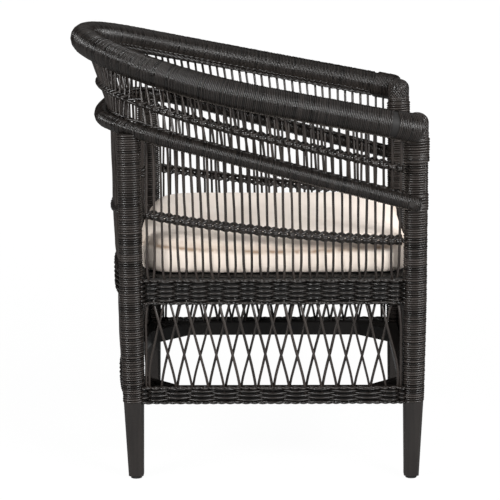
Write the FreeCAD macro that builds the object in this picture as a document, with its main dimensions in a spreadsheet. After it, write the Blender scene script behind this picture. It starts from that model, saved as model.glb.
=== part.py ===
import FreeCAD, Part
import math
import os
import Sketcher
from FreeCAD import Placement, Rotation, Vector

# A rattan armchair: wooden posts and rails, two bent bows, fanned spokes that cross
# as a lattice below the seat, twine rows, woven bands and a loose cushion.
# The front faces -Y, the sitter's left is +X, and the feet stand on z = 0.

doc = FreeCAD.newDocument("RattanArmchair")
sheet = doc.addObject("Spreadsheet::Sheet", "Dims")

driving = (
    # posts
    ("post_half_spacing", 255),
    ("front_post_offset", 294.5),
    ("rear_post_offset", 196),
    ("post_half", 18.25),
    ("post_chamfer", 4),
    ("wrap_thickness", 2.25),
    ("wrap_bottom", 141),
    ("taper_start", 310),
    ("ankle_outer", 15.75),
    ("foot_outer", 9.75),
    ("foot_inner", 16.25),
    ("front_post_top", 635),
    ("rear_post_top", 612),
    ("cap_bottom", 604),
    ("cap_top", 643),
    ("cap_rounding", 6),
    ("glide_height", 5),
    ("glide_radius", 10),
    ("glide_sides", 12),
    ("glide_pin_radius", 2),
    ("glide_pin_length", 20),
    # rails of the seat frame and of the lower frame
    ("seat_rail_bottom", 318),
    ("seat_rail_height", 34),
    ("lower_rail_bottom", 138.5),
    ("lower_rail_height", 25),
    ("rail_inset", 19),
    ("rail_thickness", 18),
    ("tenon_depth", 12),
    ("tenon_cheek", 3),
    ("seat_bulge", 31),
    ("lower_bulge", 24),
    ("brace_reach", 51),
    ("brace_width", 13),
    ("brace_bury", 9),
    # seat deck
    ("rib_radius", 3.5),
    ("rib_sides", 8),
    ("rib_count", 10),
    ("deck_thickness", 3),
    ("deck_margin", 2),
    # bows
    ("top_bow_radius", 24),
    ("top_bow_sides", 12),
    ("top_bow_half_width", 300),
    ("top_bow_front", 295.5),
    ("top_bow_back", 289.5),
    ("top_bow_front_height", 623.5),
    ("top_bow_corner_height", 698),
    ("top_bow_back_height", 754),
    ("top_bow_side_bend", 380),
    ("top_bow_back_bend", 268),
    ("top_bow_end_rounding", 9),
    ("mid_bow_radius", 13),
    ("mid_bow_sides", 10),
    ("mid_bow_half_width", 288.9),
    ("mid_bow_front", 300.5),
    ("mid_bow_back", 260),
    ("mid_bow_front_height", 492),
    ("mid_bow_corner_height", 629.5),
    ("mid_bow_back_height", 623),
    ("mid_bow_side_bend", 160),
    ("mid_bow_back_bend", 900),
    ("bolt_setback", 9),
    ("bolt_sides", 6),
    ("bolt_radius", 3),
    ("bolt_head_radius", 6),
    ("bolt_head_height", 5),
    # spokes and lattice
    ("spoke_count", 32),
    ("spoke_radius", 2.6),
    ("spoke_sides", 6),
    ("inner_layer", 4.2),
    ("outer_layer", 11),
    ("bow_clearance", 0.7),
    ("lattice_top", 367),
    ("lattice_bottom", 167),
    ("lattice_slope", 0.2465),
    ("spoke_end", 141),
    ("spoke_top_inset", 3),
    ("spoke_top_drop", 6),
    # woven bands
    ("band_outer", 16.8),
    ("seat_band_bottom", 315),
    ("seat_band_height", 44),
    ("lower_band_bottom", 137.5),
    ("lower_band_height", 30),
    # twine rows
    ("twine_height", 12),
    ("upper_twine_depth", 15),
    ("mid_twine_depth", 10.4),
    ("twine_end", 4),
    ("mid_twine_height", 8),
    ("mid_twine_lift", 11.5),
    ("low_twine_depth", 13),
    ("low_twine_front", 427),
    ("low_twine_rise", 46),
    ("low_twine_power", 1.6),
    ("low_twine_sag", 17),
    ("upper_twine_share", 0.44),
    # cushion
    ("cushion_half_width", 238),
    ("cushion_front", 291),
    ("cushion_rear", 187),
    ("cushion_corner", 42),
    ("cushion_draw", 2.5),
    ("cushion_height", 70),
    ("cushion_gap", 0.4),
    ("cover_thickness", 2.5),
)

for row, (alias, value) in enumerate(driving, start=1):
    sheet.set("A%d" % row, alias.replace("_", " "))
    sheet.set("B%d" % row, str(value))
    sheet.setAlias("B%d" % row, alias)
doc.recompute()

nodes = []


def size(alias):
    return float(sheet.get(alias))


def bind(thing, **formulas):
    for name, formula in formulas.items():
        thing.setExpression(name.replace("__", "."), formula)


def node(thing, label):
    thing.Label = label
    nodes.append(thing)
    return thing


def box(name, x, y, z, length, width, height):
    thing = doc.addObject("Part::Box", name)
    bind(thing, Length=length, Width=width, Height=height)
    bind(thing, Placement__Base__x=x, Placement__Base__y=y, Placement__Base__z=z)
    return thing


def cylinder(name, x, y, z, radius, height):
    thing = doc.addObject("Part::Cylinder", name)
    bind(thing, Radius=radius, Height=height)
    bind(thing, Placement__Base__x=x, Placement__Base__y=y, Placement__Base__z=z)
    return thing


def prism(name, x, y, z, sides_count, radius, height, direction=Vector(0, 0, 1)):
    thing = doc.addObject("Part::Prism", name)
    thing.Placement = Placement(Vector(), Rotation(Vector(0, 0, 1), direction))
    bind(thing, Polygon=sides_count, Circumradius=radius, Height=height)
    bind(thing, Placement__Base__x=x, Placement__Base__y=y, Placement__Base__z=z)
    return thing


def compound(name, things):
    thing = doc.addObject("Part::Compound", name)
    thing.Links = things
    return node(thing, name)


def fuse(name, things):
    thing = doc.addObject("Part::MultiFuse", name)
    thing.Shapes = things
    return thing


def cut(name, base, tool):
    thing = doc.addObject("Part::Cut", name)
    thing.Base = base
    thing.Tool = tool
    return thing


def common(name, base, tool):
    thing = doc.addObject("Part::Common", name)
    thing.Base = base
    thing.Tool = tool
    return thing


def chamfer(name, base, amount, chosen):
    # Eases those edges of a solid whose bounds the test picks out.
    doc.recompute()
    thing = doc.addObject("Part::Chamfer", name)
    thing.Base = base
    edges = enumerate(base.Shape.Edges, start=1)
    thing.Edges = [(index, amount, amount) for index, edge in edges if chosen(edge.BoundBox)]
    return thing


def origin_plane(body, role):
    return next(plane for plane in body.Origin.OriginFeatures if plane.Role == role)


def level_sketch(body, name, height):
    sketch = body.newObject("Sketcher::SketchObject", name)
    sketch.AttachmentSupport = [(origin_plane(body, "XY_Plane"), "")]
    sketch.MapMode = "FlatFace"
    bind(sketch, AttachmentOffset__Base__z=height)
    return sketch


def eased_square(body, name, height, outer, inner, chamfer):
    # A square with eased corners: outer faces along +x and +y, inner ones along -x and -y.
    sketch = level_sketch(body, name, height)
    reach, ease = 10.0, 2.0
    middle = reach - ease
    ring = [
        Vector(-middle, -reach), Vector(middle, -reach), Vector(reach, -middle), Vector(reach, middle),
        Vector(middle, reach), Vector(-middle, reach), Vector(-reach, middle), Vector(-reach, -middle),
    ]
    for start, end in zip(ring, ring[1:] + ring[:1]):
        sketch.addGeometry(Part.LineSegment(start, end))
    for line in range(8):
        sketch.addConstraint(Sketcher.Constraint("Coincident", line, 2, (line + 1) % 8, 1))
    for line in (0, 4):
        sketch.addConstraint(Sketcher.Constraint("Horizontal", line))
    for line in (2, 6):
        sketch.addConstraint(Sketcher.Constraint("Vertical", line))
    distances = [
        (Sketcher.Constraint("DistanceX", -1, 1, 2, 1, reach), outer),
        (Sketcher.Constraint("DistanceY", -1, 1, 4, 1, reach), outer),
        (Sketcher.Constraint("DistanceX", 6, 1, -1, 1, reach), inner),
        (Sketcher.Constraint("DistanceY", 0, 1, -1, 1, reach), inner),
    ]
    # Start and end point of each corner facet in the order of growing x, then of growing y.
    facets = ((1, (1, 2), (1, 2)), (3, (2, 1), (1, 2)), (5, (2, 1), (2, 1)), (7, (1, 2), (2, 1)))
    for line, (left, right), (low, high) in facets:
        distances.append((Sketcher.Constraint("DistanceX", line, left, line, right, ease), chamfer))
        distances.append((Sketcher.Constraint("DistanceY", line, low, line, high, ease), chamfer))
    for constraint, formula in distances:
        index = sketch.addConstraint(constraint)
        sketch.setExpression("Constraints[%d]" % index, formula)
    return sketch


def straight_loft(body, name, sections):
    loft = body.newObject("PartDesign::AdditiveLoft", name)
    loft.Profile = sections[0]
    loft.Sections = sections[1:]
    loft.Ruled = True
    return loft


def at_corner(thing, side, end):
    # Turns a piece drawn for the rear left corner to the corner named by its signs.
    turns = {(1, 1): 0, (-1, 1): 90, (-1, -1): 180, (1, -1): 270}
    thing.Placement = Placement(Vector(), Rotation(Vector(0, 0, 1), turns[(side, end)]))
    bind(thing, Placement__Base__x="%d * Dims.post_half_spacing" % side)
    offset = "Dims.rear_post_offset" if end > 0 else "-Dims.front_post_offset"
    bind(thing, Placement__Base__y=offset)
    return thing


def rounded_path(corners, bends):
    # Straight runs joined by tangent arcs.
    edges = []
    start = corners[0]
    for before, corner, after, bend in zip(corners, corners[1:], corners[2:], bends):
        back = (before - corner).normalize()
        ahead = (after - corner).normalize()
        half_angle = back.getAngle(ahead) / 2
        reach = bend / math.tan(half_angle)
        inward = (back + ahead).normalize()
        middle = corner + inward * (bend / math.sin(half_angle) - bend)
        edges.append(Part.LineSegment(start, corner + back * reach).toShape())
        start = corner + ahead * reach
        edges.append(Part.Arc(corner + back * reach, middle, start).toShape())
    edges.append(Part.LineSegment(start, corners[-1]).toShape())
    return edges


def bow_path(bow):
    # A bow lies outside the posts, bends at the sides and again across the back.
    half_width = size(bow + "_half_width")
    back = size(bow + "_back")
    side_bend = size(bow + "_side_bend")
    back_bend = size(bow + "_back_bend")
    bend_step = back_bend - side_bend
    lean = math.asin((half_width - side_bend) / bend_step)
    bend_start = back - back_bend + bend_step * math.cos(lean)
    corner = bend_start + side_bend * math.tan(math.pi / 4 - lean / 2)
    apex = back + back_bend * (1 / math.cos(lean) - 1)
    corner_height = size(bow + "_corner_height")
    share = (apex - back) / (apex - corner)
    apex_height = (size(bow + "_back_height") - share * corner_height) / (1 - share)
    front_height = size(bow + "_front_height")
    half = [
        Vector(-half_width, -size(bow + "_front"), front_height),
        Vector(-half_width, corner, corner_height),
    ]
    mirrored = [Vector(-point.x, point.y, point.z) for point in reversed(half)]
    # Slightly tighter arcs leave a short straight run between two bends.
    arc_share = 0.95
    bends = [bend * arc_share for bend in (side_bend, back_bend, side_bend)]
    return rounded_path(half + [Vector(0, apex, apex_height)] + mirrored, bends)


def along(edges, distance):
    for edge in edges:
        if distance <= edge.Length or edge is edges[-1]:
            break
        distance -= edge.Length
    parameter = edge.getParameterByLength(min(distance, edge.Length))
    return edge.valueAt(parameter), edge.tangentAt(parameter)


def inside(edges, distance, offset):
    # A point level with the path, moved towards the sitter by the offset.
    point, tangent = along(edges, distance)
    inward = Vector(tangent.y, -tangent.x, 0).normalize()
    return point + inward * offset


def first_distance(edges, offset, reached):
    distance, step = 0.0, 0.5
    while not reached(inside(edges, distance, offset)):
        distance += step
    return distance


def bow_blank(name, bow, edges):
    path = doc.addObject("Part::Feature", name + "_path")
    path.Shape = Part.Wire(edges)
    start, tangent = along(edges, 0)
    section = doc.addObject("Part::RegularPolygon", name + "_section")
    section.Placement = Placement(start, Rotation(Vector(0, 0, 1), tangent))
    bind(section, Circumradius="Dims.%s_radius" % bow, Polygon="Dims.%s_sides" % bow)
    sweep = doc.addObject("Part::Sweep", name)
    sweep.Sections = [section]
    sweep.Spine = (path, ["Edge%d" % (index + 1) for index in range(len(edges))])
    sweep.Solid = True
    return sweep


sides = (("right", -1), ("left", 1))
ends = (("front", -1), ("rear", 1))
corners = [(end_name + "_" + side_name, side, end) for end_name, end in ends for side_name, side in sides]
# A corner facet grows by this share of the distance when its faces move outwards.
chamfer_growth = " * (2 - sqrt(2))"
wrap_half = "(Dims.post_half + Dims.wrap_thickness)"
wrap_chamfer = "Dims.post_chamfer + Dims.wrap_thickness" + chamfer_growth
front_face = "(Dims.front_post_offset - %s)" % wrap_half
rear_face = "(Dims.rear_post_offset - %s)" % wrap_half
side_face = "(Dims.post_half_spacing - %s)" % wrap_half
tenon_reach = "(Dims.wrap_thickness + Dims.tenon_depth)"


def straight_rail(name, level, side=0, end=0):
    # A rail between two posts, with one tenon block through its whole length.
    bottom = "Dims.%s_rail_bottom" % level
    height = "Dims.%s_rail_height" % level
    tenon_height = "(Dims.%s_rail_height / 2 - 2 * Dims.tenon_cheek)" % level
    tenon_thickness = "Dims.rail_thickness - 2 * Dims.tenon_cheek"
    if side:
        near = "Dims.post_half_spacing - Dims.rail_inset"
        inner = near if side > 0 else "-(%s) - Dims.rail_thickness" % near
        rail_length = "%s + %s" % (front_face, rear_face)
        rail = box(name + "_bar", inner, "-" + front_face, bottom, "Dims.rail_thickness", rail_length, height)
        tenon = box(
            name + "_tenon",
            inner + " + Dims.tenon_cheek",
            "-%s - %s" % (front_face, tenon_reach),
            "%s + %s / 2 + Dims.tenon_cheek" % (bottom, height),
            tenon_thickness,
            "%s + 2 * %s" % (rail_length, tenon_reach),
            tenon_height,
        )
    else:
        inner = "Dims.rail_inset - Dims.rail_thickness - Dims.front_post_offset"
        rail_length = "2 * " + side_face
        rail = box(name + "_bar", "-" + side_face, inner, bottom, rail_length, "Dims.rail_thickness", height)
        tenon = box(
            name + "_tenon",
            "-%s - %s" % (side_face, tenon_reach),
            inner + " + Dims.tenon_cheek",
            bottom + " + Dims.tenon_cheek",
            "%s + 2 * %s" % (rail_length, tenon_reach),
            tenon_thickness,
            tenon_height,
        )
    return node(fuse(name, [rail, tenon]), name)


def bow_radius(level):
    bulge = "Dims.%s_bulge" % level
    return "((%s * %s + %s * %s) / (2 * %s))" % (side_face, side_face, bulge, bulge, bulge)


def curved_strip(name, level, bottom, height, inner, thickness):
    # A strip between the rear posts that swells backwards between them.
    middle = "Dims.rear_post_offset + Dims.%s_bulge - %s" % (level, bow_radius(level))
    inner_radius = "%s + %s" % (bow_radius(level), inner)
    outer = cylinder(name + "_outer", "0", middle, bottom, "%s + %s" % (inner_radius, thickness), height)
    hollow = cylinder(name + "_hollow", "0", middle, bottom, inner_radius, height)
    ring = cut(name + "_ring", outer, hollow)
    span = box(
        name + "_span",
        "-" + side_face,
        "Dims.rear_post_offset - 2 * Dims.rail_thickness",
        bottom,
        "2 * " + side_face,
        "6 * Dims.rail_thickness",
        height,
    )
    return common(name + "_curve", ring, span)


def curved_rail(name, level):
    bottom = "Dims.%s_rail_bottom" % level
    height = "Dims.%s_rail_height" % level
    tenon_height = "Dims.%s_rail_height / 2 - 2 * Dims.tenon_cheek" % level
    curve = curved_strip(name, level, bottom, height, "-Dims.rail_inset", "Dims.rail_thickness")
    pieces = [curve]
    for side_name, side in sides:
        root = "%s - Dims.rail_thickness" % side_face
        length = "Dims.rail_thickness + %s" % tenon_reach
        start = root if side > 0 else "-(%s) - (%s)" % (root, length)
        pieces.append(box(
            "%s_%s_tenon" % (name, side_name),
            start,
            "Dims.rear_post_offset - Dims.rail_inset + 2 * Dims.tenon_cheek",
            bottom + " + Dims.tenon_cheek",
            length,
            "Dims.rail_thickness - 3 * Dims.tenon_cheek",
            tenon_height,
        ))
    return node(fuse(name, pieces), name)


# Frame rails of the seat and of the lower frame.
rails = {}
for level in ("seat", "lower"):
    for side_name, side in sides:
        rails[level, side_name] = straight_rail("%s_%s_rail" % (level, side_name), level, side=side)
    rails[level, "front"] = straight_rail("%s_front_rail" % level, level, end=-1)
    rails[level, "rear"] = curved_rail("%s_rear_rail" % level, level)

# Bent bows and the bolts that hold them against the front posts.
top_path = bow_path("top_bow")
mid_path = bow_path("mid_bow")
top_sweep = bow_blank("top_bow_bend", "top_bow", top_path)
mid_sweep = bow_blank("mid_bow_bend", "mid_bow", mid_path)


def bolt(name, bow, side, height):
    # The shank runs from the head, flush with the bow's outer side, into the post.
    shank_start = "Dims.post_half_spacing - Dims.tenon_depth"
    head_end = "(Dims.%s_half_width + Dims.%s_radius)" % (bow, bow)
    outward = Vector(side, 0, 0)
    place = "Dims.bolt_setback - Dims.front_post_offset"
    shank = prism(name + "_shank", "%d * (%s)" % (side, shank_start), place, str(height), "Dims.bolt_sides",
                  "Dims.bolt_radius", "%s - (%s)" % (head_end, shank_start), outward)
    head = prism(name + "_head", "%d * (%s - Dims.bolt_head_height)" % (side, head_end), place, str(height),
                 "Dims.bolt_sides", "Dims.bolt_head_radius", "Dims.bolt_head_height", outward)
    return fuse(name, [shank, head])


def height_at_bolt(edges):
    place = size("bolt_setback") - size("front_post_offset")
    distance = first_distance(edges, 0, lambda point: point.y >= place)
    return round(along(edges, distance)[0].z, 2)


bolts = []
for side_name, side in sides:
    bolts.append(bolt("top_bolt_" + side_name, "top_bow", side, height_at_bolt(top_path)))
    bolts.append(bolt("mid_bolt_" + side_name, "mid_bow", side, height_at_bolt(mid_path)))
bow_bolts = compound("bow_bolts", bolts)
mid_bow = node(cut("mid_bow", mid_sweep, bow_bolts), "mid_bow")
end_limit = size("top_bow_radius") / 2 - size("top_bow_front")
end_rounding = size("top_bow_end_rounding")
top_rounded = chamfer("top_bow_rounded", top_sweep, end_rounding, lambda edge: edge.YMax < end_limit)
top_bow = node(cut("top_bow", top_rounded, bow_bolts), "top_bow")


def post_sections(body, name, outer_step, levels, chamfer):
    # Cross-sections from the given levels up: the outer faces taper below the seat.
    shapes = {
        "Dims.glide_height": ("Dims.foot_outer", "Dims.foot_inner"),
        "Dims.wrap_bottom": ("Dims.ankle_outer", "Dims.post_half"),
    }
    sections = []
    for level in levels:
        outer, inner = shapes.get(level, ("Dims.post_half", "Dims.post_half"))
        sections.append(eased_square(
            body, "%s_section_%d" % (name, len(sections)), level,
            outer + outer_step, inner + outer_step, chamfer,
        ))
    return sections


# Posts, their glides, their wound sleeves and the caps of the front posts.
glides = []
for name, side, end in corners:
    end_name, side_name = name.split("_")
    top = "Dims.%s_post_top" % end_name
    body = doc.addObject("PartDesign::Body", name + "_timber")
    levels = ["Dims.glide_height", "Dims.wrap_bottom", "Dims.taper_start", top]
    straight_loft(body, name + "_taper", post_sections(body, name, "", levels, "Dims.post_chamfer"))
    at_corner(body, side, end)

    foot_middle = "(Dims.foot_outer - Dims.foot_inner) / 2"
    foot_x = "%d * (Dims.post_half_spacing + %s)" % (side, foot_middle)
    post_y = "Dims.rear_post_offset" if end > 0 else "Dims.front_post_offset"
    foot_y = "%d * (%s + %s)" % (end, post_y, foot_middle)
    pad = prism(name + "_pad", foot_x, foot_y, "0", "Dims.glide_sides",
                "Dims.glide_radius", "Dims.glide_height")
    pin = prism(name + "_pin", foot_x, foot_y, "Dims.glide_height", "Dims.bolt_sides",
                "Dims.glide_pin_radius", "Dims.glide_pin_length")
    glide = fuse(name + "_glide", [pad, pin])
    glides.append(glide)

    joined = [rails["seat", side_name], rails["seat", end_name]]
    joined += [rails["lower", side_name], rails["lower", end_name]]
    joined.append(bow_bolts if end < 0 else mid_bow)
    joinery = fuse(name + "_joinery", joined)
    mortised = cut(name + "_mortised", body, joinery)
    node(cut(name + "_post", mortised, glide), name + "_post")

    sleeve_top = "Dims.cap_bottom" if end < 0 else top
    sleeve = doc.addObject("PartDesign::Body", name + "_sleeve")
    levels = ["Dims.wrap_bottom", "Dims.taper_start", sleeve_top]
    sections = post_sections(sleeve, name + "_wrap", " + Dims.wrap_thickness", levels, wrap_chamfer)
    straight_loft(sleeve, name + "_winding", sections)
    at_corner(sleeve, side, end)
    hollow = cut(name + "_hollow", sleeve, body)
    node(cut(name + "_wrap", hollow, joinery), name + "_wrap")

    if end < 0:
        cap_height = "Dims.cap_top - Dims.cap_bottom"
        block = box(
            name + "_cap_block",
            "%d * Dims.post_half_spacing - %s" % (side, wrap_half),
            "-Dims.front_post_offset - %s" % wrap_half,
            "Dims.cap_bottom", "2 * " + wrap_half, "2 * " + wrap_half, cap_height,
        )
        corner_ease = size("post_chamfer") + size("wrap_thickness") * (2 - math.sqrt(2))
        rounding, top_limit = size("cap_rounding"), size("cap_top") - size("cap_rounding")
        eased = chamfer(name + "_cap_eased", block, corner_ease, lambda edge: edge.ZLength > rounding)
        cap = chamfer(name + "_cap_rounded", eased, rounding, lambda edge: edge.ZMin > top_limit)
        socket = cut(name + "_cap_socket", cap, body)
        node(cut(name + "_cap", socket, bow_bolts), name + "_cap")

compound("foot_glides", glides)

# Diagonal braces in the corners of the lower frame, each from a side rail to an end rail.
for name, side, end in corners:
    end_name, side_name = name.split("_")
    # The rear rail swells away from the corner, so a brace runs further to meet it.
    swell = "Dims.lower_bulge / 2" if end > 0 else "0"
    brace = doc.addObject("Part::Box", name + "_brace_bar")
    bind(brace, Length="(Dims.brace_reach + 2 * Dims.brace_bury + %s) * sqrt(2)" % swell)
    bind(brace, Width="Dims.brace_width", Height="Dims.lower_rail_height")
    heading = Vector(-side, end, 0).normalize()
    across = Vector(-heading.y, heading.x, 0)
    face = size("rear_post_offset" if end > 0 else "front_post_offset") - size("rail_inset")
    start = Vector(
        side * (size("post_half_spacing") - size("rail_inset") + size("brace_bury")),
        end * (face - size("brace_reach") - size("brace_bury")),
        size("lower_rail_bottom"),
    )
    start -= across * (size("brace_width") / 2)
    brace.Placement = Placement(start, Rotation(Vector(1, 0, 0), heading))
    joinery = fuse(name + "_brace_rails", [rails["lower", side_name], rails["lower", end_name]])
    node(cut(name + "_brace", brace, joinery), name + "_brace")

doc.recompute()

# Seat deck: round ribs across the side rails, and a woven panel on top of them.
rib_level = "Dims.seat_rail_bottom + Dims.seat_rail_height + Dims.rib_radius"
deck_depth = "(%s + %s)" % (front_face, rear_face)
rib_reach = "(Dims.post_half_spacing - Dims.tenon_cheek)"
ribs = []
for index in range(int(size("rib_count"))):
    place = "%s * %f - %s" % (deck_depth, (index + 0.5) / size("rib_count"), front_face)
    ribs.append(prism("rib_%d" % index, "-" + rib_reach, place, rib_level, "Dims.rib_sides", "Dims.rib_radius",
                      "2 * " + rib_reach, Vector(1, 0, 0)))
compound("seat_ribs", ribs)
deck_level = rib_level + " + Dims.rib_radius"
deck_half = "(Dims.post_half_spacing - Dims.tenon_cheek)"
deck_middle = box("deck_middle", "-" + deck_half, "-%s + Dims.deck_margin" % front_face, deck_level,
                  "2 * " + deck_half, deck_depth + " - 2 * Dims.deck_margin", "Dims.deck_thickness")
lip_half = "(%s - Dims.deck_margin)" % side_face
deck_lips = box("deck_lips", "-" + lip_half, "-Dims.front_post_offset + Dims.deck_margin", deck_level,
                "2 * " + lip_half, "Dims.front_post_offset + Dims.rear_post_offset", "Dims.deck_thickness")
node(fuse("seat_deck", [deck_middle, deck_lips]), "seat_deck")

# Levels and limits of the woven panels between the posts.
half_count = int(size("spoke_count")) // 2
post_face = size("post_half") + size("wrap_thickness")
front_limit = size("front_post_offset") - post_face
rear_limit = size("rear_post_offset") - post_face
side_limit = size("post_half_spacing") - post_face
spoke_radius = size("spoke_radius")


def swelling(level, across, depth):
    # How far the rear panel stands behind the rear posts' axes at a place across it.
    bulge = size(level + "_bulge")
    radius = (side_limit ** 2 + bulge ** 2) / (2 * bulge)
    return math.sqrt((radius + depth) ** 2 - across ** 2) - radius + bulge


def panel_point(panel, lateral, depth, level, height):
    # Lateral runs along the panel, depth outwards from the posts' axes.
    if panel == "front":
        return Vector(lateral, -size("front_post_offset") - depth, height)
    if panel == "back":
        return Vector(lateral, size("rear_post_offset") + swelling(level, lateral, depth), height)
    side = dict(sides)[panel]
    return Vector(side * (size("post_half_spacing") + depth), lateral, height)


def panel_limits(panel):
    if panel in ("front", "back"):
        return -side_limit, side_limit
    return -front_limit, rear_limit


def lattice_points(panel, index):
    # One rod from the seat band to the lower band. Neighbours slant opposite ways in two
    # layers, and a rod that comes to a post follows the post down.
    low, high = panel_limits(panel)
    count = int(size("spoke_count"))
    lateral = low + (index + 0.5) * (high - low) / count
    outer = index % 2
    depth = size("outer_layer") if outer else size("inner_layer")
    heading = -1 if outer else 1
    order = index // 2 if outer else (count - 1 - index) // 2
    edge_gap = spoke_radius + 0.6 + order * (2 * spoke_radius + 0.6)
    limit = low + edge_gap if outer else high - edge_gap
    top, bottom = size("lattice_top"), size("lattice_bottom")
    slope = size("lattice_slope")
    points = [panel_point(panel, lateral, depth, "seat", top)]
    drop = abs(limit - lateral) / slope
    if order < 2 and drop < top - bottom:
        points.append(panel_point(panel, limit, depth, "seat", top - drop))
        end = limit
    else:
        end = lateral + heading * slope * (top - bottom)
    points.append(panel_point(panel, end, depth, "lower", bottom))
    points.append(panel_point(panel, end, depth, "lower", size("spoke_end")))
    return points


def rod(points):
    # A round rod as a prism with level cross-sections.
    sides_count = int(size("spoke_sides"))
    sections = []
    for point in points:
        ring = []
        for corner in range(sides_count + 1):
            angle = 2 * math.pi * corner / sides_count
            ring.append(point + Vector(math.cos(angle), math.sin(angle), 0) * spoke_radius)
        sections.append(Part.makePolygon(ring))
    return Part.makeLoft(sections, True, True)


def rod_group(label, routes):
    group = doc.addObject("Part::Feature", label)
    group.Shape = Part.makeCompound([rod(route) for route in routes])
    return node(group, label)


# Where the spokes pass inside the middle bow and end inside the top bow.
bow_offset = size("mid_bow_radius") + spoke_radius + size("bow_clearance")
top_length = sum(edge.Length for edge in top_path)
mid_length = sum(edge.Length for edge in mid_path)
top_start = first_distance(top_path, 0, lambda point: point.y > -front_limit)
mid_start = first_distance(mid_path, bow_offset, lambda point: point.y > -front_limit)
post_gap = 2 * spoke_radius
mid_turn = first_distance(mid_path, bow_offset, lambda point: point.y > rear_limit - post_gap)
mid_back = first_distance(mid_path, bow_offset, lambda point: point.x > -side_limit + post_gap)


def upper_points(position):
    # Top and middle point of a spoke, counted from the right front to the left front.
    count = int(size("spoke_count"))
    share = (position + 0.5) / (3 * count)
    distance = top_start + share * (top_length - 2 * top_start)
    top = inside(top_path, distance, size("spoke_top_inset")) - Vector(0, 0, size("spoke_top_drop"))
    panel, index = divmod(position, count)
    within = (index + 0.5) / count
    if panel == 0:
        distance = mid_start + within * (mid_turn - mid_start)
    elif panel == 1:
        distance = mid_back + within * (mid_length - 2 * mid_back)
    else:
        distance = mid_length - mid_turn + within * (mid_turn - mid_start)
    return [top, inside(mid_path, distance, bow_offset)]


def spoke_route(position):
    count = int(size("spoke_count"))
    panel, index = divmod(position, count)
    name = ("right", "back", "left")[panel]
    # The left side's rods are counted from the rear post forwards.
    lattice_index = count - 1 - index if panel == 2 else index
    return upper_points(position) + lattice_points(name, lattice_index)


count = int(size("spoke_count"))
routes = [spoke_route(position) for position in range(3 * count)]
for panel, name in enumerate(("right", "back", "left")):
    rod_group(name + "_spokes", routes[panel * count:(panel + 1) * count])
rod_group("front_lattice", [lattice_points("front", index) for index in range(count)])

# Woven bands that hold the rods against the rails, at the seat and at the lower frame.
band_inner = "(Dims.rail_thickness - Dims.rail_inset)"
band_thickness = "(Dims.band_outer - %s)" % band_inner
for level, bottom, height in (
    ("seat", "Dims.seat_band_bottom", "Dims.seat_band_height"),
    ("lower", "Dims.lower_band_bottom", "Dims.lower_band_height"),
):
    for side_name, side in sides:
        near = "Dims.post_half_spacing + %s" % band_inner
        start = near if side > 0 else "-Dims.post_half_spacing - Dims.band_outer"
        name = "%s_%s_band" % (level, side_name)
        node(box(name, start, "-" + front_face, bottom, band_thickness, deck_depth, height), name)
    name = level + "_front_band"
    start = "-Dims.front_post_offset - Dims.band_outer"
    node(box(name, "-" + side_face, start, bottom, "2 * " + side_face, band_thickness, height), name)
    name = level + "_rear_band"
    node(curved_strip(name, level, bottom, height, band_inner, band_thickness), name)


def point_at_height(route, height):
    for upper, lower in zip(route, route[1:]):
        if lower.z <= height:
            share = (upper.z - height) / (upper.z - lower.z)
            return upper + (lower - upper) * share


def between(first, second, share):
    return first + (second - first) * share


def paired(points):
    # Midway points of neighbouring spokes, with a short run on past the first and the last.
    middles = [between(first, second, 0.5) for first, second in zip(points[::2], points[1::2])]
    run_on = size("twine_end")
    first = points[0] + (points[0] - middles[0]).normalize() * run_on
    last = points[-1] + (points[-1] - middles[-1]).normalize() * run_on
    return [first] + middles + [last]


def twine(label, points, depth, height):
    # A flat twisted row that grips the spokes it passes.
    half_height = size(height) / 2
    sections = []
    for index, point in enumerate(points):
        before, after = points[max(index - 1, 0)], points[min(index + 1, len(points) - 1)]
        ahead = Vector(after.x - before.x, after.y - before.y, 0).normalize()
        outward = Vector(-ahead.y, ahead.x, 0) * (depth / 2)
        rise = Vector(0, 0, half_height)
        ring = [point - outward - rise, point + outward - rise, point + outward + rise, point - outward + rise]
        sections.append(Part.makePolygon(ring + ring[:1]))
    row = doc.addObject("Part::Feature", label)
    row.Shape = Part.makeLoft(sections, True, True)
    return node(row, label)


def low_twine_height(panel, point):
    if panel == 1:
        return size("low_twine_front") + size("low_twine_rise") - size("low_twine_sag") * (
            1 - (point.x / side_limit) ** 2)
    share = max(0.0, (point.y + front_limit) / (front_limit + rear_limit))
    return size("low_twine_front") + size("low_twine_rise") * share ** size("low_twine_power")


upper_share = size("upper_twine_share")
upper_row = [between(route[1], route[0], upper_share) for route in routes]
twine("upper_twine", paired(upper_row), size("upper_twine_depth"), "twine_height")
mid_row = [route[1] + Vector(0, 0, size("mid_twine_lift")) for route in routes]
twine("mid_twine", paired(mid_row), size("mid_twine_depth"), "mid_twine_height")
for panel, name in enumerate(("right", "back", "left")):
    members = routes[panel * count:(panel + 1) * count]
    lower_row = [point_at_height(route, low_twine_height(panel, route[2])) for route in members]
    twine("lower_twine_" + name, paired(lower_row), size("low_twine_depth"), "twine_height")


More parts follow.
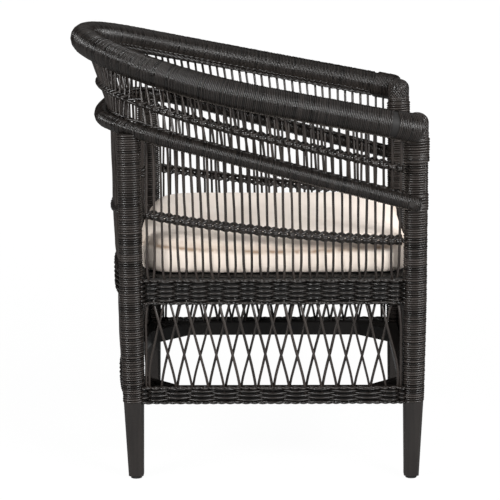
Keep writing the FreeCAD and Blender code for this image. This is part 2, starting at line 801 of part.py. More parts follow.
# Loose cushion: a crowned cover with drawn-in sides round a filling.
def cushion_outline():
    half_width = size("cushion_half_width")
    front, rear = -size("cushion_front"), size("cushion_rear")
    corner, draw = size("cushion_corner"), size("cushion_draw")
    turn = corner * (1 - math.sqrt(0.5))
    right, left = -half_width, half_width
    middle = (front + rear) / 2
    arcs = (
        (Vector(right + corner, front), Vector(0, front + draw), Vector(left - corner, front)),
        (Vector(left - corner, front), Vector(left - turn, front + turn), Vector(left, front + corner)),
        (Vector(left, front + corner), Vector(left - draw, middle), Vector(left, rear - corner)),
        (Vector(left, rear - corner), Vector(left - turn, rear - turn), Vector(left - corner, rear)),
        (Vector(left - corner, rear), Vector(0, rear - draw), Vector(right + corner, rear)),
        (Vector(right + corner, rear), Vector(right + turn, rear - turn), Vector(right, rear - corner)),
        (Vector(right, rear - corner), Vector(right + draw, middle), Vector(right, front + corner)),
        (Vector(right, front + corner), Vector(right + turn, front + turn), Vector(right + corner, front)),
    )
    ring = []
    for arc in arcs:
        ring += Part.Arc(*arc).toShape().discretize(5)[:-1]
    return ring


def moved_in(ring, distance):
    # Every edge of the ring moves inwards by the distance and stays parallel.
    moved = []
    for before, point, after in zip(ring[-1:] + ring[:-1], ring, ring[1:] + ring[:1]):
        arriving = (point - before).normalize()
        leaving = (after - point).normalize()
        bisector = (Vector(-arriving.y, arriving.x) + Vector(-leaving.y, leaving.x)).normalize()
        half_turn = arriving.getAngle(leaving) / 2
        moved.append(point + bisector * (distance / math.cos(half_turn)))
    return moved


def cushion_solid(shrink):
    base = (size("seat_rail_bottom") + size("seat_rail_height") + 2 * size("rib_radius")
            + size("deck_thickness") + size("cushion_gap"))
    height = size("cushion_height")
    # Inset and share of the height: rounded lower edge, upright side, rounded upper edge.
    edge_profile = ((16, 0.0), (4, 0.1), (0, 0.3), (0, 0.6), (5, 0.8), (18, 0.9))
    # Size against the last ring and share of the height: the crown.
    crown_profile = ((0.8, 0.97), (0.4, 1.0))
    outline = cushion_outline()
    centre = Vector(0, (size("cushion_rear") - size("cushion_front")) / 2)
    rings = [(moved_in(outline, inset + shrink), share) for inset, share in edge_profile]
    shoulder = rings[-1][0]
    rings += [([between(centre, point, scale) for point in shoulder], share) for scale, share in crown_profile]
    levels = []
    for ring, share in rings:
        lift = Vector(0, 0, base + shrink + (height - 2 * shrink) * share)
        levels.append([point + lift for point in ring + ring[:1]])
    # The rings' edges are parallel, so flat panels close the sides from level to level.
    faces = [Part.Face(Part.makePolygon(level)) for level in (levels[0], levels[-1])]
    for lower, upper in zip(levels, levels[1:]):
        for index in range(len(lower) - 1):
            corners_round = [lower[index], lower[index + 1], upper[index + 1], upper[index], lower[index]]
            faces.append(Part.Face(Part.makePolygon(corners_round)))
    shell = Part.Shell(faces)
    shell.sewShape()
    return Part.Solid(shell)


filling_gap = 0.3
cover = doc.addObject("Part::Feature", "cushion_cover")
cover.Shape = cushion_solid(0.0).cut(cushion_solid(size("cover_thickness")))
node(cover, "cushion_cover")
filling = doc.addObject("Part::Feature", "cushion_filling")
filling.Shape = cushion_solid(size("cover_thickness") + filling_gap)
node(filling, "cushion_filling")

doc.recompute()
for thing in doc.Objects:
    if "Invalid" in thing.State or "Error" in thing.State:
        raise SystemExit("failed: %s %s" % (thing.Name, thing.State))
for thing in nodes:
    if thing.Shape.isNull() or not thing.Shape.isValid():
        raise SystemExit("bad shape: " + thing.Label)

os.makedirs("parts", exist_ok=True)
for thing in nodes:
    thing.Shape.exportStep("parts/%s.step" % thing.Label)
print("wrote %d sub-parts" % len(nodes))
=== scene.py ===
import math
import random

import bpy
import bmesh
from mathutils import Matrix, Vector, noise


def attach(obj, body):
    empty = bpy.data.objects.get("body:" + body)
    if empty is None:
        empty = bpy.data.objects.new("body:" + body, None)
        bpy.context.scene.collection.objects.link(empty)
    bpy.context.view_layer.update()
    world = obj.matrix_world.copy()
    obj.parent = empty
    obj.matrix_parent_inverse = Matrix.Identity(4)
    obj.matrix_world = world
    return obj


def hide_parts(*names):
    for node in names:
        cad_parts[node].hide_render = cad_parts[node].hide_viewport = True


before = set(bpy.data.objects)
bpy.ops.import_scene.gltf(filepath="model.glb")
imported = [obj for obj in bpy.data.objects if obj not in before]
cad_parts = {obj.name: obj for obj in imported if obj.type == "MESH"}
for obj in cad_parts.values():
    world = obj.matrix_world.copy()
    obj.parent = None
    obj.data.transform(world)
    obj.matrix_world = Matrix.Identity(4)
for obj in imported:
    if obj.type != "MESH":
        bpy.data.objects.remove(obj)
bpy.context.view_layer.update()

scene = bpy.context.scene
up = Vector((0, 0, 1))
print("frame loaded:", len(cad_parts), "nodes")


# node trees, in which sums of wires add their own nodes

building = {"tree": None}


class wire:
    # one output of a node in the tree that is being built
    def __init__(self, socket):
        self.socket = socket

    def calc(self, operation, *values):
        return calc("VectorMath" if self.socket.type == "VECTOR" else "Math", operation, self, *values)

    def __add__(self, other):
        return self.calc("ADD", other)

    def __sub__(self, other):
        return self.calc("SUBTRACT", other)

    def __mul__(self, other):
        if self.socket.type == "VECTOR":
            return addNode("ShaderNodeVectorMath", {0: self, 3: other}, operation="SCALE")[0]
        return self.calc("MULTIPLY", other)

    def __truediv__(self, other):
        return self.calc("DIVIDE", other)


class outputs:
    # the outputs of one node as wires
    def __init__(self, node):
        self.node = node

    def __getitem__(self, key):
        return wire(self.node.outputs[key])


def feed(target, source):
    if isinstance(source, wire):
        building["tree"].links.new(source.socket, target)
    else:
        target.default_value = source


def addNode(kind, inputs=None, **settings):
    node = building["tree"].nodes.new(kind)
    for key, value in settings.items():
        setattr(node, key, value)
    for key, source in (inputs or {}).items():
        feed(node.inputs[key], source)
    return outputs(node)


def addSocket(side, label, kind):
    return building["tree"].interface.new_socket(name=label, in_out=side, socket_type="NodeSocket" + kind)


def calc(kind, operation, *values):
    return addNode("ShaderNode" + kind, dict(enumerate(values)), operation=operation)[0]


def geo(kind, inputs=None, **settings):
    return addNode("GeometryNode" + kind, inputs, **settings)[0]


def noiseOf(place, scale, detail, **more):
    inputs = {"Vector": place, "Scale": scale, "Detail": detail, **more}
    return addNode("ShaderNodeTexNoise", inputs)


def newGeometryTree(name, inputs):
    building["tree"] = bpy.data.node_groups.new(name, "GeometryNodeTree")
    addSocket("INPUT", "Geometry", "Geometry")
    for label, value in inputs.items():
        socket = addSocket("INPUT", label, {float: "Float", int: "Int"}.get(type(value), "Material"))
        if value is not None:
            socket.default_value = value
    addSocket("OUTPUT", "Geometry", "Geometry")
    return addNode("NodeGroupInput")


def namedField(name, kind="FLOAT"):
    return addNode("GeometryNodeInputNamedAttribute", {"Name": name}, data_type=kind)["Attribute"]


def storeField(geometry, name, value, kind="FLOAT"):
    return geo("StoreNamedAttribute", {"Geometry": geometry, "Name": name, "Value": value}, data_type=kind)


def randomField(low, high, identity, seed):
    node = addNode("FunctionNodeRandomValue").node
    sources = {"Min_001": low, "Max_001": high, "ID": identity, "Seed": seed}
    for socket in node.inputs:
        if socket.identifier in sources:
            feed(socket, sources[socket.identifier])
    return wire(next(socket for socket in node.outputs if socket.enabled))


def wandering(given):
    # a small drift, different for each strand
    apart = 3.0
    place = geo("InputPosition") + namedField("tone") * apart
    colour = noiseOf(place, given["Wander scale"], 1.0)["Color"]
    return calc("VectorMath", "SUBTRACT", colour, (0.5, 0.5, 0.5)) * given["Wander"]


def closeTree(curve, given, width, thickness, spent):
    # sweeps the strand, drops the fields that only steered its shape, then realizes and paints
    circle = geo("CurvePrimitiveCircle", {"Resolution": given["Sides"], "Radius": 1.0})
    size = addNode("ShaderNodeCombineXYZ", {0: given[thickness], 1: given[width], 2: 1.0})[0]
    profile = geo("Transform", {"Geometry": circle, "Scale": size})
    sweep = {"Curve": curve, "Profile Curve": profile, "Scale": namedField("girth"), "Fill Caps": True}
    mesh = geo("CurveToMesh", sweep)
    for name in ["girth"] + spent:
        mesh = geo("RemoveAttribute", {"Geometry": mesh, "Name": name})
    mesh = geo("SetShadeSmooth", {"Geometry": mesh})
    mesh = geo("RealizeInstances", {"Geometry": mesh})
    mesh = geo("SetMaterial", {"Geometry": mesh, "Material": given["Material"]})
    addNode("NodeGroupOutput", {0: mesh})
    return building["tree"]


# the three ways in which cane is laid

def buildRodTree():
    # a bent rod along each line, with a little hand-made wander
    given = newGeometryTree("rodAlongLine", {
        "Radius": 0.0028, "Sides": 8, "Step": 0.012, "Wander": 0.001, "Wander scale": 14.0, "Material": None,
    })
    curve = geo("MeshToCurve", {"Mesh": given["Geometry"]})
    curve = geo("CurveSplineType", {"Curve": curve}, spline_type="CATMULL_ROM")
    curve = geo("ResampleCurve", {"Curve": curve, "Length": given["Step"]}, mode="LENGTH")
    curve = storeField(curve, "along", addNode("GeometryNodeSplineParameter")["Length"])
    curve = geo("SetPosition", {"Geometry": curve, "Offset": wandering(given)})
    return closeTree(curve, given, "Radius", "Radius", [])


def buildWindingTree():
    # one strand wound round a guide line; reach is the guide's own half thickness
    given = newGeometryTree("strandWoundRound", {
        "Pitch": 0.0028, "Steps": 14, "Squareness": 2.0, "Strand width": 0.0015, "Strand thickness": 0.001,
        "Sides": 6, "Wander": 0.0002, "Seed": 3, "Material": None,
    })
    toneSeed = 11
    curve = geo("MeshToCurve", {"Mesh": given["Geometry"]})
    step = given["Pitch"] / given["Steps"]
    curve = geo("ResampleCurve", {"Curve": curve, "Length": step}, mode="LENGTH")
    parameter = addNode("GeometryNodeSplineParameter")
    turns = parameter["Index"] / given["Steps"]
    angle, turn = turns * math.tau, turns.calc("FLOOR")
    tangent = geo("InputTangent")
    sideways = namedField("sideways", "FLOAT_VECTOR")
    across = tangent.calc("CROSS_PRODUCT", sideways).calc("NORMALIZE")
    first = across.calc("CROSS_PRODUCT", tangent).calc("NORMALIZE")
    cosine, sine = angle.calc("COSINE"), angle.calc("SINE")
    lay = first * cosine + across * sine
    power = given["Squareness"]
    total = cosine.calc("ABSOLUTE").calc("POWER", power) + sine.calc("ABSOLUTE").calc("POWER", power)
    squared = total.calc("POWER", calc("Math", "DIVIDE", -1.0, power))
    loose = randomField(-1.0, 1.0, turn, given["Seed"]) * given["Wander"]
    reach = namedField("reach") * squared + loose
    slid = tangent * (cosine * reach * namedField("lean"))
    curve = storeField(curve, "lay", lay, "FLOAT_VECTOR")
    curve = storeField(curve, "along", parameter["Length"])
    curve = storeField(curve, "tone", randomField(0.0, 1.0, turn, toneSeed))
    curve = geo("SetPosition", {"Geometry": curve, "Offset": lay * reach + slid})
    normal = namedField("lay", "FLOAT_VECTOR")
    curve = geo("SetCurveNormal", {"Curve": curve, "Normal": normal}, mode="FREE")
    return closeTree(curve, given, "Strand width", "Strand thickness", ["lay", "sideways", "reach", "lean"])


def buildWeavingTree():
    # strands that swing in front of one stake and behind the next; the other swings make pairs twist
    given = newGeometryTree("strandWovenAlong", {
        "Cuts": 5, "Out swing": 0.004, "Up swing": 0.0, "Loop swing": 0.0, "Strand width": 0.002,
        "Strand thickness": 0.0015, "Sides": 6, "Wander": 0.0006, "Wander scale": 40.0, "Material": None,
    })
    curve = geo("MeshToCurve", {"Mesh": given["Geometry"]})
    curve = geo("SubdivideCurve", {"Curve": curve, "Cuts": given["Cuts"]})
    parameter = addNode("GeometryNodeSplineParameter")
    spans = parameter["Index"] / (given["Cuts"] + 1.0)
    angle = spans * math.pi + namedField("phase")
    cosine, sine = angle.calc("COSINE"), angle.calc("SINE")
    sideways = namedField("sideways", "FLOAT_VECTOR")
    outward = sideways * (cosine * given["Out swing"])
    rise = (sine * given["Up swing"] + cosine * given["Loop swing"]) * namedField("twist")
    upward = addNode("ShaderNodeCombineXYZ", {2: rise})[0]
    offset = outward + upward + wandering(given)
    curve = storeField(curve, "along", parameter["Length"])
    curve = geo("SetPosition", {"Geometry": curve, "Offset": offset})
    curve = geo("SetCurveNormal", {"Curve": curve, "Normal": sideways}, mode="FREE")
    return closeTree(curve, given, "Strand width", "Strand thickness", ["sideways", "phase", "twist"])


rodTree = buildRodTree()
windingTree = buildWindingTree()
weavingTree = buildWeavingTree()


def guideMesh(name, lines, **fields):
    points = [tuple(point) for line in lines for point in line]
    edges, start = [], 0
    for line in lines:
        edges += [(start + step, start + step + 1) for step in range(len(line) - 1)]
        start += len(line)
    mesh = bpy.data.meshes.new(name)
    mesh.from_pydata(points, edges, [])
    fields.setdefault("girth", [[1.0] * len(line) for line in lines])
    fields.setdefault("tone", [[0.5] * len(line) for line in lines])
    for key, rows in fields.items():
        values = [value for row in rows for value in row]
        if isinstance(values[0], Vector):
            field = mesh.attributes.new(key, "FLOAT_VECTOR", "POINT")
            field.data.foreach_set("vector", [part for value in values for part in value])
        else:
            field = mesh.attributes.new(key, "FLOAT", "POINT")
            field.data.foreach_set("value", values)
    return mesh


def newObject(name, data):
    thing = bpy.data.objects.new(name, data)
    scene.collection.objects.link(thing)
    return thing


def settledMesh(piece):
    # what the modifiers make, as a plain mesh
    made = bpy.data.meshes.new_from_object(piece.evaluated_get(bpy.context.evaluated_depsgraph_get()))
    piece.modifiers.clear()
    return made


def fixToFrame(piece, slot, replaced):
    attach(piece, "frame")
    if replaced:
        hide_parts(*replaced)


def layCane(name, lines, fields, tree, slot, finish, replaced=(), **values):
    # runs a tree along guide lines; the values are the tree's inputs, written in camel case
    piece = newObject(name, guideMesh(name, lines, **fields))
    modifier = piece.modifiers.new("lay", "NODES")
    modifier.node_group = tree
    inputs = {item.name.replace(" ", "").lower(): item.identifier for item in tree.interface.items_tree
              if item.in_out == "INPUT"}
    for key, value in {**values, "material": finish}.items():
        modifier[inputs[key.lower()]] = value
    piece.data = settledMesh(piece)
    piece.data.name = name
    fixToFrame(piece, slot, replaced)
    print("laid", name, len(piece.data.polygons), "faces")


def layMesh(name, mesh, finish, slot, replaced=()):
    mesh.name = name
    mesh.materials.clear()
    mesh.materials.append(finish)
    fixToFrame(newObject(name, mesh), slot, replaced)


def meshOf(shape):
    mesh = bpy.data.meshes.new("shape")
    shape.to_mesh(mesh)
    shape.free()
    return mesh


def closedShell(levels):
    # a closed mesh through level rings of points, from the bottom up
    shape = bmesh.new()
    rings = [[shape.verts.new(point) for point in ring] for ring in levels]
    for lower, upper in zip(rings, rings[1:]):
        for k in range(len(lower)):
            after = (k + 1) % len(lower)
            shape.faces.new((lower[k], lower[after], upper[after], upper[k]))
    shape.faces.new(rings[-1])
    shape.faces.new(rings[0][::-1])
    return meshOf(shape)


# finishes

finishes = {
    "windingDark": (0.0030, 0.0024, 0.0021),
    "windingLight": (0.0330, 0.0268, 0.0234),
    "deepDark": (0.0020, 0.0016, 0.0014),
    "deepLight": (0.0170, 0.0133, 0.0112),
    "shadedDark": (0.0020, 0.0017, 0.0015),
    "shadedLight": (0.0070, 0.0058, 0.0052),
    "deckLight": (0.0125, 0.0101, 0.0087),
    "rodDark": (0.0056, 0.0041, 0.0034),
    "rodLight": (0.027, 0.0203, 0.0167),
    "timberDark": (0.0052, 0.0041, 0.0036),
    "timberLight": (0.018, 0.0144, 0.0126),
    # rail colours: the timber stain, darkened further as painted shade
    "railDark": (0.0024, 0.0019, 0.0017),
    "railLight": (0.0090, 0.0071, 0.0061),
    "clothWarm": (0.88, 0.750, 0.640),
    "clothPale": (0.95, 0.860, 0.780),
    "clothBase": (0.008, 0.0075, 0.007),
    "clothCrease": (0.42, 0.30, 0.215),
    "glide": (0.012, 0.012, 0.012),
    "bolt": (0.05, 0.047, 0.045),
}
fibre = {
    "broadScale": 22.0, "fineScale": 900.0, "streakScale": 3.0, "streakStretch": 60.0, "toneShare": 0.7,
    "streakShare": 0.3, "broadShare": 0.25, "deeper": 0.15, "glossSpread": 0.15, "fineGloss": 0.12,
    "fineRelief": 0.6, "relief": 0.0004, "shine": 0.42,
}
timber = {
    "grainScale": 90.0, "grainTwist": 0.6, "broadScale": 7.0, "grainShare": 0.7, "broadShare": 0.3,
    "gloss": 0.36, "glossSpread": 0.16, "bump": 0.12, "relief": 0.0005,
}


def mixColours(factor, first, second):
    paints = [(*paint, 1) if isinstance(paint, tuple) else paint for paint in (first, second)]
    inputs = {0: factor, 6: paints[0], 7: paints[1]}
    return addNode("ShaderNodeMix", inputs, data_type="RGBA")[2]


def ramped(value, stops):
    ramp = addNode("ShaderNodeValToRGB", {"Fac": value})
    for element, (place, level) in zip(ramp.node.color_ramp.elements, stops):
        element.position = place
        element.color = (level, level, level, 1)
    return ramp["Color"]


def newFinish(name):
    material = bpy.data.materials.new(name)
    material.use_nodes = True
    building["tree"] = material.node_tree
    return material, addNode("ShaderNodeTexCoord")["Object"]


def dress(inputs, height=None, bump=0.0, relief=0.0):
    # hands colours and values to the surface, and a fine relief where there is one
    surface = building["tree"].nodes["Principled BSDF"].inputs
    for key, source in inputs.items():
        feed(surface[key], source)
    if height:
        normal = addNode("ShaderNodeBump", {"Height": height, "Strength": bump, "Distance": relief})
        feed(surface["Normal"], normal[0])


def buildFibreGroup():
    # stain that is thinner on some strands, with fine lines along each strand
    building["tree"] = group = bpy.data.node_groups.new("stainedFibre", "ShaderNodeTree")
    sockets = {"INPUT": ("Dark Color", "Light Color", "Tone Float", "Along Float", "Place Vector", "Gloss Float"),
               "OUTPUT": ("Colour Color", "Roughness Float", "Height Float")}
    for side, labels in sockets.items():
        for label, kind in (text.split() for text in labels):
            addSocket(side, label, kind)
    given = addNode("NodeGroupInput")
    tone = given["Tone"]
    broad = noiseOf(given["Place"], fibre["broadScale"], 3.0)["Fac"]
    fine = noiseOf(given["Place"], fibre["fineScale"], 2.0)["Fac"]
    length = addNode("ShaderNodeCombineXYZ", {0: given["Along"] * fibre["streakStretch"], 1: tone})[0]
    streak = noiseOf(length, fibre["streakScale"], 4.0)["Fac"]
    worn = tone * fibre["toneShare"] + streak * fibre["streakShare"] - fibre["deeper"]
    worn = broad * fibre["broadShare"] + worn
    rough = (streak + tone - 1.0) * fibre["glossSpread"] + given["Gloss"]
    rough = (fine - 0.5) * fibre["fineGloss"] + rough
    addNode("NodeGroupOutput", {"Colour": mixColours(worn, given["Dark"], given["Light"]), "Roughness": rough,
                                "Height": fine * fibre["fineRelief"] + streak})
    return group


fibreGroup = buildFibreGroup()


def caneFinish(name, dark, light, gloss, bump):
    material, place = newFinish(name)
    inputs = {"Dark": (*finishes[dark], 1), "Light": (*finishes[light], 1), "Place": place, "Gloss": gloss}
    for field in ("Tone", "Along"):
        inputs[field] = addNode("ShaderNodeAttribute", attribute_name=field.lower())["Fac"]
    cane = addNode("ShaderNodeGroup", inputs, node_tree=fibreGroup)
    dress({"Base Color": cane["Colour"], "Roughness": cane["Roughness"], "Specular IOR Level": fibre["shine"]},
          cane["Height"], bump, fibre["relief"])
    return material


windingFinish = caneFinish("woundCane", "windingDark", "windingLight", gloss=0.34, bump=0.25)
bowFinish = caneFinish("bowCane", "deepDark", "deepLight", gloss=0.32, bump=0.25)
rodFinish = caneFinish("roundCane", "rodDark", "rodLight", gloss=0.38, bump=0.3)
weaveFinish = caneFinish("wovenCane", "deepDark", "deepLight", gloss=0.36, bump=0.3)
# near-black cane for the cores under the windings, bands and deck: painted shade in the gaps
shadedFinish = caneFinish("shadedCane", "shadedDark", "shadedLight", gloss=0.6, bump=0.3)
# a darker copy of the woven cane for the deck: painted shade
deckShadeFinish = caneFinish("deckShadeCane", "shadedDark", "deckLight", gloss=0.55, bump=0.3)


def timberFinish(name, stretch, stain, shine):
    # grain runs along the stretched axis
    material, place = newFinish(name)
    mapped = addNode("ShaderNodeMapping", {"Vector": place, "Scale": stretch})[0]
    grain = noiseOf(mapped, timber["grainScale"], 5.0, Distortion=timber["grainTwist"])["Fac"]
    broad = noiseOf(place, timber["broadScale"], 2.0)["Fac"]
    shade = grain * timber["grainShare"] + broad * timber["broadShare"]
    shade = ramped(shade, ((0.32, 0.0), (0.72, 1.0)))
    colour = mixColours(shade, finishes[stain + "Dark"], finishes[stain + "Light"])
    rough = grain * timber["glossSpread"] + timber["gloss"]
    dress({"Base Color": colour, "Roughness": rough, "Specular IOR Level": shine}, grain, timber["bump"],
          timber["relief"])
    return material


uprightTimber = timberFinish("stainedTimberUpright", (1.0, 1.0, 0.06), "timber", shine=0.42)
# the rails: the timber stain, darkened further than on the posts as painted shade
shadedLengthTimber = timberFinish("stainedShadedTimberLengthwise", (1.0, 0.06, 1.0), "rail", shine=0.28)
shadedCrossTimber = timberFinish("stainedShadedTimberCrosswise", (0.06, 1.0, 1.0), "rail", shine=0.28)


def plainFinish(name, colour, rough, metallic=0.0):
    # one colour, scuffed darker and lighter
    material, place = newFinish(name)
    scuffScale, scuffGloss, scuffShades = 120.0, 0.2, (0.7, 1.35)
    scuff = noiseOf(place, scuffScale, 4.0)["Fac"]
    darker, lighter = (tuple(part * share for part in colour) for share in scuffShades)
    dress({"Base Color": mixColours(scuff, darker, lighter), "Metallic": metallic,
           "Roughness": scuff * scuffGloss + (rough - scuffGloss / 2)})
    return material


glideFinish = plainFinish("glidePlastic", finishes["glide"], rough=0.55)
boltFinish = plainFinish("blackBolt", finishes["bolt"], rough=0.42, metallic=0.9)
print("finishes made")


# lines of the chair, in metres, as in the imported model

chair = {
    "postSpacing": 0.255, "frontPost": 0.2945, "rearPost": 0.196, "postHalf": 0.01825, "wrapHalf": 0.0205,
    "wrapBottom": 0.141, "taperStart": 0.310, "ankleHalf": 0.0170, "ankleShift": 0.00125, "capBottom": 0.604,
    "coreShare": 0.84, "rearTop": 0.612,
}
topBow = {
    "halfWidth": 0.300, "front": 0.2955, "back": 0.2895, "frontHeight": 0.6235, "cornerHeight": 0.698,
    "backHeight": 0.754, "sideBend": 0.380, "backBend": 0.268, "radius": 0.024, "dome": 0.010, "endLength": 0.046,
}
midBow = {
    "halfWidth": 0.2889, "front": 0.3005, "back": 0.260, "frontHeight": 0.492, "cornerHeight": 0.6295,
    "backHeight": 0.623, "sideBend": 0.160, "backBend": 0.900, "radius": 0.013, "dome": 0.006, "endLength": 0.0,
}
randomCane = random.Random(41)


def straight(start, end, step):
    count = max(1, int((end - start).length / step))
    return [start.lerp(end, k / count) for k in range(1, count)]


def densePath(corners, step):
    line = corners[:1]
    for before, after in zip(corners, corners[1:]):
        line += straight(before, after, step) + [after]
    return line


def bowLine(bow, step=0.006):
    # straight arms, a bend at each side and one across the back, as short chords
    easing = 0.95
    bendStep = bow["backBend"] - bow["sideBend"]
    lean = math.asin((bow["halfWidth"] - bow["sideBend"]) / bendStep)
    bendStart = bow["back"] - bow["backBend"] + bendStep * math.cos(lean)
    corner = bendStart + bow["sideBend"] * math.tan(math.pi / 4 - lean / 2)
    apex = bow["back"] + bow["backBend"] * (1 / math.cos(lean) - 1)
    share = (apex - bow["back"]) / (apex - corner)
    apexHeight = (bow["backHeight"] - share * bow["cornerHeight"]) / (1 - share)
    half = [Vector((-bow["halfWidth"], -bow["front"], bow["frontHeight"])),
            Vector((-bow["halfWidth"], corner, bow["cornerHeight"]))]
    turns = half + [Vector((0, apex, apexHeight))] + [Vector((-p.x, p.y, p.z)) for p in reversed(half)]
    bends = (bow["sideBend"], bow["backBend"], bow["sideBend"])
    line = [turns[0]]
    for before, turn, after, bend in zip(turns, turns[1:], turns[2:], bends):
        bend *= easing
        back, ahead = (before - turn).normalized(), (after - turn).normalized()
        halfAngle = back.angle(ahead) / 2
        reach = bend / math.tan(halfAngle)
        centre = turn + (back + ahead).normalized() * (bend / math.sin(halfAngle))
        start, end = turn + back * reach - centre, turn + ahead * reach - centre
        axis = start.cross(end).normalized()
        sweep = start.angle(end)
        count = max(4, int(sweep * bend / step))
        line += straight(line[-1], centre + start, step)
        line += [centre + Matrix.Rotation(sweep * k / count, 3, axis) @ start for k in range(count + 1)]
    return line + straight(line[-1], turns[-1], step) + [turns[-1]]


def inwards(line):
    # level direction towards the sitter
    ends = zip(line[:1] + line[:-1], line[1:] + line[-1:])
    alongs = [(after - before).normalized() for before, after in ends]
    return [Vector((along.y, -along.x, 0)).normalized() for along in alongs]


def nodeIslands(name):
    # separate rods of a node as lists of their level ring centres, from the top down
    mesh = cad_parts[name].data
    weld, levelStep = 20000, 10000
    keys, place, owner = {}, [], []
    for vertex in mesh.vertices:
        key = tuple(round(part * weld) for part in vertex.co)
        if key not in keys:
            keys[key] = len(place)
            place.append(vertex.co.copy())
        owner.append(keys[key])
    root = list(range(len(place)))

    def find(item):
        while root[item] != item:
            root[item] = root[root[item]]
            item = root[item]
        return item

    for polygon in mesh.polygons:
        first, *others = [find(owner[index]) for index in polygon.vertices]
        for other in others:
            root[find(other)] = find(first)
    groups = {}
    for item, point in enumerate(place):
        groups.setdefault(find(item), []).append(point)
    routes = []
    for points in groups.values():
        levels = {}
        for point in points:
            levels.setdefault(round(point.z * levelStep), []).append(point)
        rings = [sum(ring, Vector()) / len(ring) for ring in levels.values()]
        routes.append(sorted(rings, key=lambda centre: -centre.z))
    return routes


topLine, midLine = bowLine(topBow), bowLine(midBow)
orders = {"right": lambda route: route[1].y, "back": lambda route: route[1].x, "left": lambda route: -route[1].y}
spokes = {panel: sorted(nodeIslands(panel + "_spokes"), key=order) for panel, order in orders.items()}
frontRods = sorted(nodeIslands("front_lattice"), key=lambda route: route[0].x)
allSpokes = spokes["right"] + spokes["back"] + spokes["left"]
print("routes read:", len(allSpokes), "spokes,", len(frontRods), "front rods")


def tones(lines):
    picked = [randomCane.random() for line in lines]
    return [[tone] * len(line) for tone, line in zip(picked, lines)]


def girths(lines, spread):
    picked = [1 + randomCane.uniform(-spread, spread) for line in lines]
    return [[girth] * len(line) for girth, line in zip(picked, lines)]


# wound cane: posts and bows

winding = {
    "post": {"steps": 32, "squareness": 2.4, "sides": 8, "wander": 0.0003}, "pitch": 0.0040, "width": 0.0016,
    "thickness": 0.0019, "proud": 0.0002, "coreStep": (0.0010, 0.0015),
    "collar": {"heights": (0.602, 0.562), "lift": 0.0018, "pitch": 0.0045, "thick": 1.08},
    "lashing": {"heights": (0.506, 0.479), "lift": 0.0006, "pitch": 0.0048, "thick": 1.22},
    "bow": {"pitch": 0.0029, "squareness": 2.0, "strandWidth": 0.0013, "strandThickness": 0.0014, "sides": 8,
            "wander": 0.0003},
    "bowCore": {"radius": 1.0, "sides": 20, "step": 0.004, "wander": 0.0}, "coreInset": 0.0016, "topSteps": 16,
    "midSteps": 12, "lean": 0.05, "endLean": 0.4, "sink": 0.00112, "endProud": 0.0012, "endGap": 0.002,
}


def windSquare(name, line, reach, replaced=(), pitch=winding["pitch"], thick=1.0):
    fields = {"sideways": [[Vector((1, 0, 0))] * len(line)], "reach": [reach], "lean": [[0.0] * len(line)]}
    layCane(name, [line], fields, windingTree, "wound_rattan", windingFinish, replaced, pitch=pitch,
            strandWidth=winding["width"] * thick, strandThickness=winding["thickness"] * thick, **winding["post"])


def layPost(name, node, x, y):
    # the foot as it is, and a slimmer core where the winding hides it
    post = bmesh.new()
    post.from_mesh(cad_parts[node].data)
    low, high = (chair["wrapBottom"] + rise for rise in winding["coreStep"])
    for height in (low, high):
        parts = list(post.verts) + list(post.edges) + list(post.faces)
        bmesh.ops.bisect_plane(post, geom=parts, plane_co=(0, 0, height), plane_no=up)
    for vertex in post.verts:
        if vertex.co.z > (low + high) / 2:
            vertex.co.x = x + (vertex.co.x - x) * chair["coreShare"]
            vertex.co.y = y + (vertex.co.y - y) * chair["coreShare"]
    layMesh(name, meshOf(post), uprightTimber, "dark_timber", [node])


def windPost(endName, sideName, side, end):
    name, node = endName + sideName.capitalize(), endName + "_" + sideName
    x, y = side * chair["postSpacing"], chair["rearPost"] if end > 0 else -chair["frontPost"]
    layPost(name + "Post", node + "_post", x, y)
    top = chair["rearTop"] if end > 0 else chair["capBottom"]
    half = chair["wrapHalf"] - winding["thickness"] + winding["proud"]
    ankle = half - chair["postHalf"] + chair["ankleHalf"]
    shift = chair["ankleShift"]
    low = Vector((x - side * shift, y - end * shift, chair["wrapBottom"]))
    line = [Vector((x, y, top)), Vector((x, y, chair["taperStart"])), low]
    windSquare(name + "Winding", line, [half, half, ankle], [node + "_wrap"])
    if end < 0:
        # a second layer under the cap, and bold turns beside the end of the middle bow
        for extra in ("Collar", "Lashing"):
            plan = winding[extra.lower()]
            line = [Vector((x, y, height)) for height in plan["heights"]]
            windSquare(name + extra, line, [half + plan["lift"]] * 2, (), plan["pitch"], plan["thick"])


for endName, end in (("front", -1), ("rear", 1)):
    for sideName, side in (("right", -1), ("left", 1)):
        windPost(endName, sideName, side, end)


cap = {
    "low": 0.604, "top": 0.6455, "dome": 0.016, "blunt": 0.02, "reach": 0.0190, "rings": 14, "corners": 32,
    "strands": 26, "twist": 40.0, "swing": 0.0004, "proud": 0.0003, "border": (-0.004, 0.008), "borderProud": 0.0002,
    "cane": {"radius": 0.0010, "sides": 6, "step": 0.003, "wander": 0.0003},
}


def capRing(side, height, reach, angles):
    # a rounded square round a front post's axis that closes to a dome at the top
    over = max(0.0, height - cap["top"] + cap["dome"]) / cap["dome"]
    shrink = math.sqrt(max(cap["blunt"], 1 - over * over))
    power = winding["post"]["squareness"]
    ring = []
    for angle in angles:
        total = abs(math.cos(angle)) ** power + abs(math.sin(angle)) ** power
        radius = reach * shrink * total ** (-1 / power)
        ring.append(Vector((side * chair["postSpacing"] + radius * math.cos(angle),
                            radius * math.sin(angle) - chair["frontPost"], height)))
    return ring


